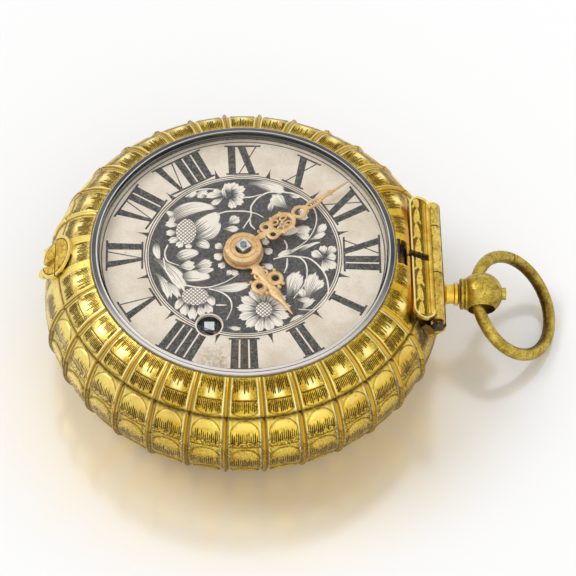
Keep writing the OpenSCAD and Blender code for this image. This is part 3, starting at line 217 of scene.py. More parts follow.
def sheet(rows, columns):  # the points of an open grid and its faces
    cell = np.arange(rows * columns).reshape(rows, columns)
    return cell, np.stack([cell[:-1, :-1], cell[1:, :-1], cell[1:, 1:], cell[:-1, 1:]], -1).reshape(-1, 4)


def turn(count):
    return [2 * math.pi * k / count for k in range(count)]


def revolve(profile, sides, at=(0, 0), squash=1):  # rings of points round an upright axis
    return [(at[0] + r * math.cos(a), at[1] + squash * r * math.sin(a), z) for r, z in profile for a in turn(sides)]


def ease(x, low, high):
    t = np.clip((x - low) / (high - low), 0, 1)
    return t * t * (3 - 2 * t)


def groove(distance, width):
    return np.exp(-(distance / width) ** 2)


def softEdges(piece, degrees=35):  # smooth shading that keeps the sharper corners
    work = bmesh.new()
    work.from_mesh(piece.data)
    for edge in work.edges:
        if len(edge.link_faces) == 2 and edge.calc_face_angle() > math.radians(degrees):
            edge.smooth = False
    work.to_mesh(piece.data)
    work.free()


# Mesh builder: adds tubes, beads and turned forms to one piece
class Maker:
    def __init__(self):
        self.points, self.faces = [], []

    def add(self, points, faces):
        start = len(self.points)
        self.points += [tuple(p) for p in points]
        self.faces += [tuple(int(i) + start for i in f) for f in faces]

    def rings(self, points, sides, closed=False, flip=True, capped=False):  # a skin over rings of points
        rows, step = len(points) // sides, -1 if flip else 1
        faces = list(wrap(rows, sides, closed, flip))
        if capped:
            faces += [range(sides)[::step], range((rows - 1) * sides, rows * sides)[::-step]]
        self.add(points, faces)

    def tube(self, path, wide, high, closed=True, sides=10):  # path in a level plane, radii across and up
        path = [np.array(p, float) for p in path]
        count = len(path)
        wide, high = np.broadcast_to(wide, count), np.broadcast_to(high, count)
        points = []
        for i, p in enumerate(path):
            before = path[i - 1] if closed or i else p
            after = path[(i + 1) % count] if closed or i < count - 1 else p
            run = after - before
            run /= max(np.linalg.norm(run), 1e-9)
            side = np.array([run[1], -run[0], 0])
            points += [p + side * wide[i] * math.cos(a) + np.array([0, 0, high[i] * math.sin(a)]) for a in turn(sides)]
        self.rings(points, sides, closed, capped=not closed)

    def turned(self, profile, at=(0, 0, 0), axis=(0, 0, 1), sides=48):  # radius and height pairs
        z = Vector(axis).normalized()
        x = z.orthogonal().normalized()
        y = z.cross(x)
        self.rings([Vector(at) + (x * math.cos(a) + y * math.sin(a)) * r + z * h
                    for r, h in profile for a in turn(sides)], sides, capped=True)

    def bead(self, at, r, sides=14, steps=8):
        bends = [math.pi * i / steps for i in range(steps + 1)]
        self.turned([(max(0.01, r * math.sin(a)), -r * math.cos(a)) for a in bends], at, (0, 0, 1), sides)

    def piece(self, name, finish, body, replaces=(), smooth=True):
        return meshPiece(name, self.points, self.faces, finish, body, smooth, replaces)


# What the case is made to
case = {
    "widest": 28.6, "widestZ": 11, "splitR": 26.3, "splitZ": 18.5, "restR": 9.5, "shoulderR": 18.6,
    "lipR": 21.75, "lipZ": 21.9, "lipBore": 21.55, "seatZ": 21.15, "bore": 22, "wall": 1, "shelf": 1.2, "shelfBore": 21,
    "panels": 32, "firstRib": 2, "lastRib": 14,
    "ribHeight": 0.48, "ribHalf": 0.058, "frameTo": 0.135,  # half width and flat flank are shares of a panel
    "rows": [0, 0.19, 0.38, 0.58, 0.8, 1], "rings": (34, 30, 28, 26, 18), "swell": 0.2, "wave": 0.09,
    "gap": 0.03, "seam": 0.1, "backSteps": 26, "bezelSteps": 84, "foot": (9.3, 6, 3, 0.4), "fadeOver": 8,
    "columns": 1760, "hingeX": 27.3, "hingeZ": 17.9, "hingeHalf": 10.5, "trough": 1.2, "rustAt": (26, -11, 17),
}
hingePlate = {  # the engraved cover, its seat in the bezel, the open pit beside it and its knuckles
    "at": (25.3, 0, 19.15), "tilt": 12, "halfWide": 1.65, "halfStraight": 8.9, "thick": 0.6, "border": 0.22,
    "raise": 0.16, "leafPitch": 2.7, "slotHalf": 0.52, "slotTo": 0.95, "slotLean": 0.1, "columns": 34, "rows": 300,
    "seatOver": 1.73, "seatSquash": 0.978, "seatZ": 19.08, "seatFall": 0.2126,
    "pitFrom": 22.1, "pitTo": 23.2, "pitSides": (-2.4, 1.6), "pitFloor": 18.8, "slitHalf": 0.6, "stainOver": 0.1,
    "knuckleR": 1.05, "knuckles": (1, 3), "knuckleLong": 4.08, "play": 0.05, "hingeLong": 20.4,
}
gildingTones = {
    "bright": rgb(244, 212, 88), "deep": rgb(206, 160, 40), "tarnishAndShade": rgb(78, 52, 16), "stroke": rgb(66, 42, 14),
    "green": rgb(160, 142, 58), "cream": rgb(244, 230, 158), "ribs": rgb(206, 158, 30), "gleam": rgb(255, 240, 160),
    "shadow": rgb(150, 114, 40), "orange": rgb(206, 160, 66), "steel": rgb(172, 162, 148), "hole": rgb(46, 42, 38),
    "rust": rgb(70, 54, 40), "rough": 0.27, "strokes": 19,
}


def backArc(t):  # radius and height of the back, from the split line at 0 to the foot at 1
    drop = math.acos((case["splitR"] - case["shoulderR"]) / (case["widest"] - case["shoulderR"]))
    high = (case["splitZ"] - case["widestZ"]) / math.sin(drop)
    a = drop - t * (drop + math.pi / 2)
    inner, rise = (case["shoulderR"], high) if a >= 0 else (case["restR"], case["widestZ"])
    return inner + (case["widest"] - inner) * math.cos(a), case["widestZ"] + rise * math.sin(a)


def bezelArc(t):  # the same for the bezel, from its lip to the split line
    bulge = 0.45 * math.sin(math.pi * t)
    return (case["lipR"] + (case["splitR"] - case["lipR"]) * t + bulge * 0.6,
            case["lipZ"] + (case["splitZ"] + case["gap"] - case["lipZ"]) * t + bulge)


# Values round the case, one for each column of points
angle = np.arange(case["columns"]) / case["columns"] * 2 * math.pi
turns = angle / (2 * math.pi) * case["panels"] + 0.5  # ribs stand at whole numbers
across = turns - np.floor(turns)
fromPendant = np.abs((np.degrees(angle) + 180) % 360 - 180)
panelDegrees = 360 / case["panels"]
ribNumber = np.round(fromPendant / panelDegrees - 0.5)
ribbedHere = ((ribNumber >= case["firstRib"]) & (ribNumber <= case["lastRib"])).astype(float)
firstEdge, lastEdge = ((case[key] + 0.5) * panelDegrees for key in ("firstRib", "lastRib"))
scaledHere = ((fromPendant > firstEdge) & (fromPendant < lastEdge)).astype(float)
toRib = np.minimum(across, 1 - across)  # distance to the nearest rib as a share of a panel
ribs = ribbedHere * case["ribHeight"] * np.sqrt(np.clip(1 - (toRib / case["ribHalf"]) ** 2, 0, 1))
besideRib = groove(toRib - case["ribHalf"] - 0.012, 0.016) * ribbedHere
inside = ease(toRib, case["frameTo"] - 0.02, case["frameTo"] + 0.03) * scaledHere  # within a scale's frame
fromMiddle = np.clip(np.abs(across - 0.5) / (0.5 - case["frameTo"]), 0, 1)
splitWave = case["wave"] * np.cos(2 * math.pi * across) * scaledHere
openGap = 1 + 0.9 * np.clip(-np.sin(angle) * 1.6 - 0.5, 0, 1)  # the split stands open towards III


# Height over the plain form, and how deep in a hollow the point lies
def backRelief(row, share, fade):
    arch = 0.07 + 0.3 * fromMiddle ** 2.4 * (1 if row == 0 else 0.8)  # upper edge of a scale, as a share of its row
    topEdge = ease(share - arch, -0.01, 0.035)
    pillow = inside * topEdge * (1 - 0.55 * ease(share, 0.55, 0.8)) * (1 - ease(share, 0.93, 0.985))
    crown = 0.3 * inside * topEdge * np.sin(np.clip((share - arch) / (0.6 - arch), 0, 1) * math.pi)
    hollow = np.maximum(besideRib, inside * groove(share - arch + 0.012, 0.02))
    hollow = np.maximum(hollow, inside * groove(share - 0.97, 0.03) * 0.8)
    return (ribs + case["swell"] * (pillow + crown)) * fade, hollow * fade


def bezelRelief(share):
    lowEdge = 0.93 - 0.1 * fromMiddle ** 3
    upper = ease(share, 0.06, 0.4) * (1 - ease(share, 0.53, 0.57))
    lower = (ease(share, 0.56, 0.6) * 0.35 + 0.4 * ease(share, 0.6, 0.85)) * (1 - ease(share - lowEdge, -0.02, 0.03))
    fade = 0.4 + 0.2 * ease(share, 0.0, 0.12) + 0.4 * ease(share, 0.75, 1)
    hollow = np.maximum(besideRib, inside * groove(share - 0.565, 0.018))
    return (ribs * fade + case["swell"] * inside * (upper + lower),
            np.maximum(hollow, inside * 0.6 * groove(share - lowEdge, 0.03)))


def outline(profile):  # unit normals of a profile of radius and height, pointing out of the case
    run = np.gradient(np.array(profile), axis=0)
    normal = np.stack([-run[:, 1], run[:, 0]], 1)
    return normal / np.maximum(np.linalg.norm(normal, axis=1, keepdims=True), 1e-9)


class ShellGrid:  # rings of points with the values that the gilding reads
    def __init__(self):
        self.rings, self.values = [], {"panelU": [], "rowV": [], "hollow": [], "scaled": [], "stain": []}

    def ring(self, radius, height, row=-1.0, hollow=0.0):
        one = np.ones(case["columns"])
        self.rings.append(np.stack([radius * np.cos(angle), radius * np.sin(angle), height * one], 1))
        for key, value in zip(self.values, (turns, row * one, hollow * one, scaledHere, 0 * one)):
            self.values[key].append(value)

    def piece(self, name, finish, body, closed, replaces):
        faces = wrap(len(self.rings), case["columns"], closed)
        made = meshPiece(name, np.concatenate(self.rings), faces, finish, body, True, replaces)
        keepValues(made, self.values)
        return made


def clearHinge(ring):  # keeps a ring's points out of the trough that the knuckles turn in
    dx, dz = ring[:, 0] - case["hingeX"], ring[:, 2] - case["hingeZ"]
    near = (np.abs(ring[:, 1]) < case["hingeHalf"]) & (np.hypot(dx, dz) < case["trough"])
    ring[near, 0] = case["hingeX"] - np.sqrt(case["trough"] ** 2 - dz[near] ** 2)


def makeBack(finish):
    grid = ShellGrid()
    splitZ, bore = case["splitZ"], case["shelfBore"]
    shelfZ = splitZ - case["shelf"]
    inner = []
    for t in np.linspace(0.13, 1, case["backSteps"] + 1):
        r, z = backArc(t)
        inner.append((max(0.4, r - case["wall"]), max(case["wall"], z + (0.8 if r < 26.6 else 0.2))))
    inner = [p for p in inner if p[1] < shelfZ - 0.2]
    for r, z in inner[::-1] + [(inner[0][0], shelfZ), (bore + 0.1, shelfZ), (bore, shelfZ + 0.08),
                               (bore, splitZ - 0.08), (bore + 0.1, splitZ)]:
        grid.ring(r, z)
    grid.ring(case["splitR"] - 0.35, splitZ, -1, 0.4)
    grid.ring(case["splitR"] - 0.12, splitZ + splitWave * 0.7, -1, 1)
    rows = [(row, i / count) for row, count in enumerate(case["rings"]) for i in range(count)]
    ends = case["rows"]
    profile = [backArc(ends[row] + (ends[row + 1] - ends[row]) * share) for row, share in rows]
    for (r, z), n, (row, share) in zip(profile, outline(profile), rows):
        height, hollow = backRelief(row, share, min(1, max(0, (r - case["restR"]) / case["fadeOver"])))
        wave = 0
        if row == 0:
            height = height * ease(share, 0, 0.09) - case["seam"] * (1 - ease(share, 0, 0.05))
            hollow = np.maximum(hollow, groove(share, 0.045 * openGap))
            wave = splitWave * max(0, 1 - share * 3)
        grid.ring(r + n[0] * height, z + n[1] * height + wave, row + share, hollow)
    for r in case["foot"]:
        grid.ring(r, 0)
    for ring in grid.rings:
        clearHinge(ring)
        ring[:, 2] = np.maximum(ring[:, 2], 0)
    piece = grid.piece("caseShell", finish, "case", False, ["case_back"])
    mesh = bmesh.new()
    mesh.from_mesh(piece.data)
    bmesh.ops.holes_fill(mesh, edges=[e for e in mesh.edges if e.is_boundary], sides=0)
    mesh.to_mesh(piece.data)
    mesh.free()


def seatBezelRing(ring, hollow):  # lowers a ring under the hinge cover, and returns its hollow, with the pit and slit marked for painted shade, and its stain
    size = hingePlate
    x, y = ring[:, 0], ring[:, 1]
    start, (low, high), more = size["pitFrom"], size["pitSides"], size["stainOver"]
    past = np.maximum(np.abs(y) - size["halfStraight"], 0)
    seat = size["seatOver"] - np.hypot((x - size["at"][0]) / size["seatSquash"], past)  # depth within the outline
    floor = size["seatZ"] - (x - size["at"][0]) * size["seatFall"]
    ring[:, 2] -= 0.5 * ease(seat, -1.3, 0) * (np.hypot(x, y) > start)
    ring[:, 2] = np.where(seat > 0, np.minimum(ring[:, 2], floor), ring[:, 2])
    pit = (x > start) & (x < size["pitTo"]) & (y > low) & (y < high)
    cut = pit | (x > start) & (np.abs(y + 0.03 + size["slotLean"] * (x - 24)) < size["slitHalf"])
    ring[cut, 2] = np.minimum(ring[cut, 2], size["pitFloor"])
    # the pit, the slit and a rim round the pit are marked to be painted dark as shade
    pitShaded = cut | (x > start - 0.3) & (x < start + 0.2) & (y > low - more) & (y < high + more)
    return np.maximum(np.maximum(hollow, ease(seat, -0.05, 0.05)), pitShaded * 2.0), ease(seat, -0.75, -0.45)


def makeBezel(finish):
    grid = ShellGrid()
    steps = case["bezelSteps"]
    foot = case["splitZ"] + case["gap"]
    shares = [i / steps for i in range(steps + 1)]
    profile = [bezelArc(t) for t in shares]
    for (r, z), n, share in zip(profile, outline(profile), shares):
        height, hollow = bezelRelief(share)
        near = 1 - ease(share, 0.93, 1)
        lift = height * near - case["seam"] * (1 - near)
        hollow = np.maximum(hollow, groove(1 - share, 0.035 * openGap))
        grid.ring(r + n[0] * lift, z + n[1] * lift + splitWave * max(0, share * 4 - 3), 10 + share * 0.999, hollow)
    grid.ring(case["splitR"] - 0.15, foot + splitWave, -1, 1)
    grid.ring(case["splitR"] - 0.5, foot, -1, 0.3)
    for r, z in ((case["bore"], foot), (case["bore"], case["seatZ"]), (case["lipBore"], case["seatZ"]),
                 (case["lipBore"], case["lipZ"] - 0.1), (case["lipBore"] + 0.06, case["lipZ"] - 0.02)):
        grid.ring(r, z, -3 if r < 21.7 else -1)
    hollows, stainsAndShade = grid.values["hollow"], grid.values["stain"]
    for k, ring in enumerate(grid.rings):
        clearHinge(ring)
        if k <= steps:
            hollows[k], stainsAndShade[k] = seatBezelRing(ring, hollows[k])
    grid.piece("bezelRing", finish, "lid", True, ["bezel"])


def rustNearPin(finish):
    spot = finish.vector("DISTANCE", finish.place(), case["rustAt"], result=1)
    return (1 - spot.ramp(1.5, 3)) * finish.noise(1.4, 4, 0.7).ramp(0.34, 0.48) * 0.9


# Gilding of the ribbed and scaled case: strokes cut across each scale, painted shade in the hollows
def makeCaseGilding():
    tone = gildingTones
    gilt = Finish("patternedGilding", "gilt")
    u, v, hollow, scaled, stain = gilt.values("panelU", "rowV", "hollow", "scaled", "stain")
    onBezel = v > 9.5
    onBack = 1 - onBezel
    panel, side = u.whole(), (u.part() - 0.5).size()
    row, share = v.whole(), v.part()
    stroke = u.part() * tone["strokes"]
    seed = stroke.whole() * 1.37 + panel * 19.1 + row * 7.7
    ragged, ragged2 = gilt.chance(seed), gilt.chance(seed + 0.5)
    fromStroke = (stroke.part() - 0.5).size()
    within = (side < 0.365) * (v > -0.5)

    def strokeBand(start, end, wobbleStart, wobbleEnd):
        first, last = start + ragged * wobbleStart, end + ragged2 * wobbleEnd
        length = (share - first).ramp(0, 0.1) * (last - share).ramp(0, 0.04)
        return (fromStroke < length * (0.24 + 0.18 * ragged2)) * length.ramp(0, 0.2)

    onTop = strokeBand(0.0, 0.2, 0.01, 0.26).larger(strokeBand(0.55, 0.8, 0.02, 0.1))
    strokes = within * (onBezel * onTop + onBack * strokeBand(0.34, 0.74, 0.16, 0.14))
    strokes = strokes * (0.5 + 1.0 * gilt.noise(0.7, 3)).smaller(1)
    fine, grain = gilt.noise(2.2, 4), gilt.noise(4.5, 3)
    spots = gilt.noise(1.1, 2).ramp(0.66, 0.72)
    # Painted highlight: a pale gleam on the pillow of each bezel scale and, fainter, on the smooth lens atop each back
    # scale
    lens = onBack * (1 - share.ramp(0.28, 0.4)) * (1 - side.ramp(0.26, 0.32)) * (1 - 0.5 * (v > 1))
    pillow = onBezel * share.band(0.27, 0.35, 0.5, 0.55) * (1 - side.ramp(0.08, 0.2))
    shadedSide = onBezel * within * side.ramp(0.14, 0.3) * share.band(0.1, 0.2, 0.8, 0.9) * grain.ramp(0.4, 0.56)
    flank = scaled * side.band(0.355, 0.375, 0.446, 0.456)
    litRibSide = u.part() > 0.5  # painted light: the flank of each rib that looks away from the pendant is drawn as the lit one
    smudge = onBezel * within * (1 - share.ramp(0.2, 0.32)).larger(share.band(0.5, 0.6, 0.78, 0.88))
    mottle = onBack * share.ramp(0.6, 0.75) * grain.ramp(0.44, 0.54) * (1 - side.ramp(0.4, 0.44))
    lower = onBack * (v > 1) * grain.ramp(0.42, 0.58) * (1 - lens)
    # Painted shade in the hollows beside ribs and scales and along the split, which are also rougher
    dirt = (hollow * (0.6 + 0.7 * fine)).smaller(1)
    hole = hollow.ramp(1.1, 1.6)  # painted shade: the pit and slit beside the hinge drawn near black
    paleLitSide = (0 - gilt.split()[0]).ramp(8, 26)  # painted light: paler towards VI, the side the key lamp falls on

    gilt.start(gilt.noise(0.16, 4).ramp(0.35, 0.7), tone["bright"], tone["deep"])
    gilt.over(fine.ramp(0.45, 0.7) * 0.65 * (1 - lens), tone["green"])
    # painted light on the side towards VI
    gilt.over(paleLitSide * 0.4, tone["cream"])
    # painted highlight on the bezel pillows and the back lenses
    gilt.over((pillow + lens * 0.25) * 0.9, tone["gleam"])
    # painted highlight: cream on both flanks of each rib, stronger on the lit flank
    gilt.over(flank * litRibSide * (0.5 + 0.5 * fine), tone["cream"])
    gilt.over(flank * (1 - litRibSide) * (0.1 + 0.6 * fine), tone["cream"])
    gilt.over(smudge * grain.ramp(0.42, 0.6) * (1 - pillow) * 0.6, tone["tarnishAndShade"])
    # painted shade on the unlit half of each rib's crest
    gilt.over(scaled * side.ramp(0.45, 0.46), gilt.blend(litRibSide, tone["shadow"], tone["ribs"]))
    gilt.over(onBack * v.ramp(0.9, 2.2) * 0.45, tone["green"])
    gilt.over((mottle * 0.8).larger(lower * 0.72).larger(shadedSide * 0.6), tone["tarnishAndShade"])
    # painted shade in the hollows
    gilt.over(dirt * 0.92, tone["tarnishAndShade"])
    gilt.over(strokes * 0.92, tone["stroke"])
    gilt.over(spots * 0.35, tone["tarnishAndShade"])
    gilt.over(stain * (0.55 + 0.6 * fine).smaller(0.9), tone["orange"])
    gilt.over(v < -2.5, tone["steel"])
    gilt.over(rustNearPin(gilt), tone["rust"])
    # painted shade in the pit and slit beside the hinge
    gilt.over(hole, tone["hole"])
    relief = fine * 0.12 - strokes - spots * 0.2 - (mottle + lower) * 0.3
    return gilt.done(Metallic=1 - hole * 0.85, Roughness=tone["rough"] + 0.16 * fine + 0.25 * dirt,
                     Normal=gilt.bump(relief, 0.85, 0.13))


caseGilding = makeCaseGilding()
makeBack(caseGilding)
makeBezel(caseGilding)
print("case back and bezel formed")

# Dial
dial = {
    "face": 20.3, "lift": 0.006, "numeralIn": 14.13, "numeralOut": 19.44, "thick": 1.08, "gap": 0.24, "thin": 0.2,
    "serif": 0.3, "serifOver": 0.42, "letterWide": 2.85, "fan": 0.35, "spearTip": 15.71, "spearBase": 13.94,
    "spearWide": 0.84, "lines": [(20.03, 0.13), (13.94, 0.15), (13.6, 0.13)], "ground": 13.4, "hub": 1.6,
    "windAt": (-4.832, -11.961), "windR": 1.75, "windClear": 1.8, "layer": 0.0004, "petalLayer": 0.0012,
    "windRim": [(1.76, -0.25), (1.76, 0.02), (1.8, 0.05), (1.93, 0.05), (1.97, 0.008)],
    "windWell": [(1.752, -0.03), (1.752, -1.3), (1.08, -1.35)],
    "numerals": ["I", "II", "III", "IIII", "V", "VI", "VII", "VIII", "IX", "X", "XI", "XII"],
}
dialTones = {
    "silver": rgb(246, 228, 212), "warm": rgb(224, 202, 180), "speck": rgb(150, 134, 118),
    "wellShade": rgb(24, 27, 27), "ink": rgb(56, 53, 54), "inkWorn": rgb(150, 142, 132), "ground": rgb(70, 65, 67),
    "groundWorn": rgb(122, 114, 110), "brown": rgb(120, 88, 52),
    "petal": rgb(252, 238, 226), "petalShade": rgb(74, 68, 64),
}


def stainNear(finish, at, reach):  # a brown cloudy stain round one place of the dial
    x, y, _ = finish.split()
    far = ((x - at[0]) ** 2 + (y - at[1]) ** 2) ** 0.5
    return (1 - far.ramp(reach * 0.3, reach)) * finish.noise(1.6, 4, 0.7).ramp(0.42, 0.6)


def makeSilvering():
    silver = Finish("silveredDial", "silver", Metallic=0.15)
    fine, scratch = silver.noise(4.5, 3), silver.noise(2.5, 2, 0.5, (0.3, 3, 1))
    silver.start(silver.noise(0.22, 5).ramp(0.42, 0.66) * 0.8, dialTones["silver"], dialTones["warm"])
    silver.over(fine.ramp(0.55, 0.75) * 0.3 + silver.noise(1.3, 3).ramp(0.68, 0.74) * 0.35, dialTones["speck"])
    silver.over(stainNear(silver, (-3.9, -17.9), 3.2) * 0.55, dialTones["brown"])
    return silver.done(Roughness=0.4 + 0.2 * fine, Normal=silver.bump(fine * 0.5 + scratch * 0.5, 0.25, 0.03))


def makeInk(name, first, worn, share):
    ink = Finish(name, "silver", Metallic=0.1)
    wear = ink.noise(2.4, 4, 0.7)
    ink.start(wear.ramp(0.46, 0.66) * share, dialTones[first], dialTones[worn])
    ink.over(stainNear(ink, (-0.6, -17.2), 3.6) * 0.6, dialTones["brown"])
    return ink.done(Roughness=0.42 + 0.25 * wear, Normal=ink.bump(wear, 0.3, 0.03))


def onDial(hour, u, r):  # a point beside an hour's middle line, u to the right of a reader at the rim
    a = math.radians(-30 * hour)
    u *= 1 + dial["fan"] * (r - 16.8) / 16.8
    return r * math.cos(a) + u * math.sin(a), r * math.sin(a) - u * math.cos(a)


def numeralStrokes(text):  # each stroke's corners, across the numeral and as a share of its height
    thick, wide, thin = dial["thick"], dial["letterWide"], dial["thin"]
    middle = wide / 2
    letters = {
        "I": [[(0, 1), (thick, 1), (thick, 0), (0, 0)]],
        "V": [[(0, 1), (thick, 1), (middle + 0.28, 0), (middle - 0.26, 0)],
              [(wide - thin, 1), (wide, 1), (middle + 0.2, 0), (middle + 0.05, 0)]],
        "X": [[(0, 1), (thick, 1), (wide, 0), (wide - thick, 0)], [(wide - thin, 1), (wide, 1), (thin, 0), (0, 0)]],
    }
    at, strokes = 0, []
    for letter in text:
        strokes += [[(u + at, v) for u, v in shape] for shape in letters[letter]]
        at += (thick if letter == "I" else wide) + dial["gap"]
    total, over = at - dial["gap"], dial["serifOver"]
    rim = dial["serif"] / (dial["numeralOut"] - dial["numeralIn"])
    for v in (0, 1 - rim):
        strokes.append([(-over, v + rim), (total + over, v + rim), (total + over, v), (-over, v)])
    return [[(u - total / 2, v) for u, v in shape] for shape in strokes]


def makeNumerals():
    maker = Maker()
    z = dial["face"] + dial["lift"]
    low, high = dial["numeralIn"], dial["numeralOut"]
    base, tip = dial["spearBase"], dial["spearTip"]
    side = [(dial["spearWide"] / 2, base), (0.26, base + 0.4), (0.12, base + 0.95)]
    spear = side + [(0, tip)] + [(-u, r) for u, r in side[::-1]] + [(0, base)]
    for hour, text in enumerate(dial["numerals"], 1):
        for order, shape in enumerate(numeralStrokes(text)):
            points = [(*onDial(hour, u, low + (high - low) * v), z + dial["layer"] * order) for u, v in shape]
            maker.add(points, [range(len(points))[::-1]])
        maker.add([(*onDial(hour + 0.5, u, r), z) for u, r in spear], [(7, k + 1, k) for k in range(6)])
    for radius, width in dial["lines"]:
        maker.rings(revolve([(radius - width / 2, z), (radius + width / 2, z)], 240), 240)
    maker.piece("dialNumerals", makeInk("darkWax", "ink", "inkWorn", 0.55), "movement", smooth=False)


def makeGround():  # the matted middle, cut away round the hub and the winding hole
    z = dial["face"] + dial["lift"] * 0.5
    outer, hole = dial["ground"], dial["windR"] + 0.02
    windX, windY = dial["windAt"]
    far, toHole = math.hypot(windX, windY), math.atan2(windY, windX)
    gap = math.acos((outer ** 2 + far ** 2 - hole ** 2) / (2 * outer * far))
    bite = math.acos((hole ** 2 + far ** 2 - outer ** 2) / (2 * hole * far))
    border = [(outer * math.cos(toHole + a), outer * math.sin(toHole + a), z)
              for a in np.linspace(gap, 2 * math.pi - gap, 200)]
    border += [(windX + hole * math.cos(toHole + a), windY + hole * math.sin(toHole + a), z)
               for a in np.linspace(math.pi + bite, math.pi - bite, 42)[1:-1]]
    work = bmesh.new()
    edges = []
    for loop in (border, revolve([(dial["hub"], z)], 40)):
        ring = [work.verts.new(p) for p in loop]
        edges += [work.edges.new((ring[k], ring[(k + 1) % len(ring)])) for k in range(len(ring))]
    bmesh.ops.triangle_fill(work, edges=edges, use_beauty=True, normal=(0, 0, 1))
    work.normal_update()
    work.verts.index_update()
    faces = [[v.index for v in f.verts][::1 if f.normal.z > 0 else -1] for f in work.faces]
    points = [tuple(v.co) for v in work.verts]
    work.free()
    meshPiece("dialGround", points, faces, makeInk("mattedGround", "ground", "groundWorn", 0.8), "movement", False)
    # the well inside the winding hole is drawn near black as painted shade
    for name, key, finish in (("windingRim", "windRim", silvering),
                              ("windingWell", "windWell", makeInk("shadedWell", "wellShade", "ink", 0.4))):
        maker = Maker()
        profile = [(r, dial["face"] + h) for r, h in dial[key]]
        maker.rings(revolve(profile, 64, dial["windAt"]), 64, flip=key == "windWell")
        maker.piece(name, finish, "movement")


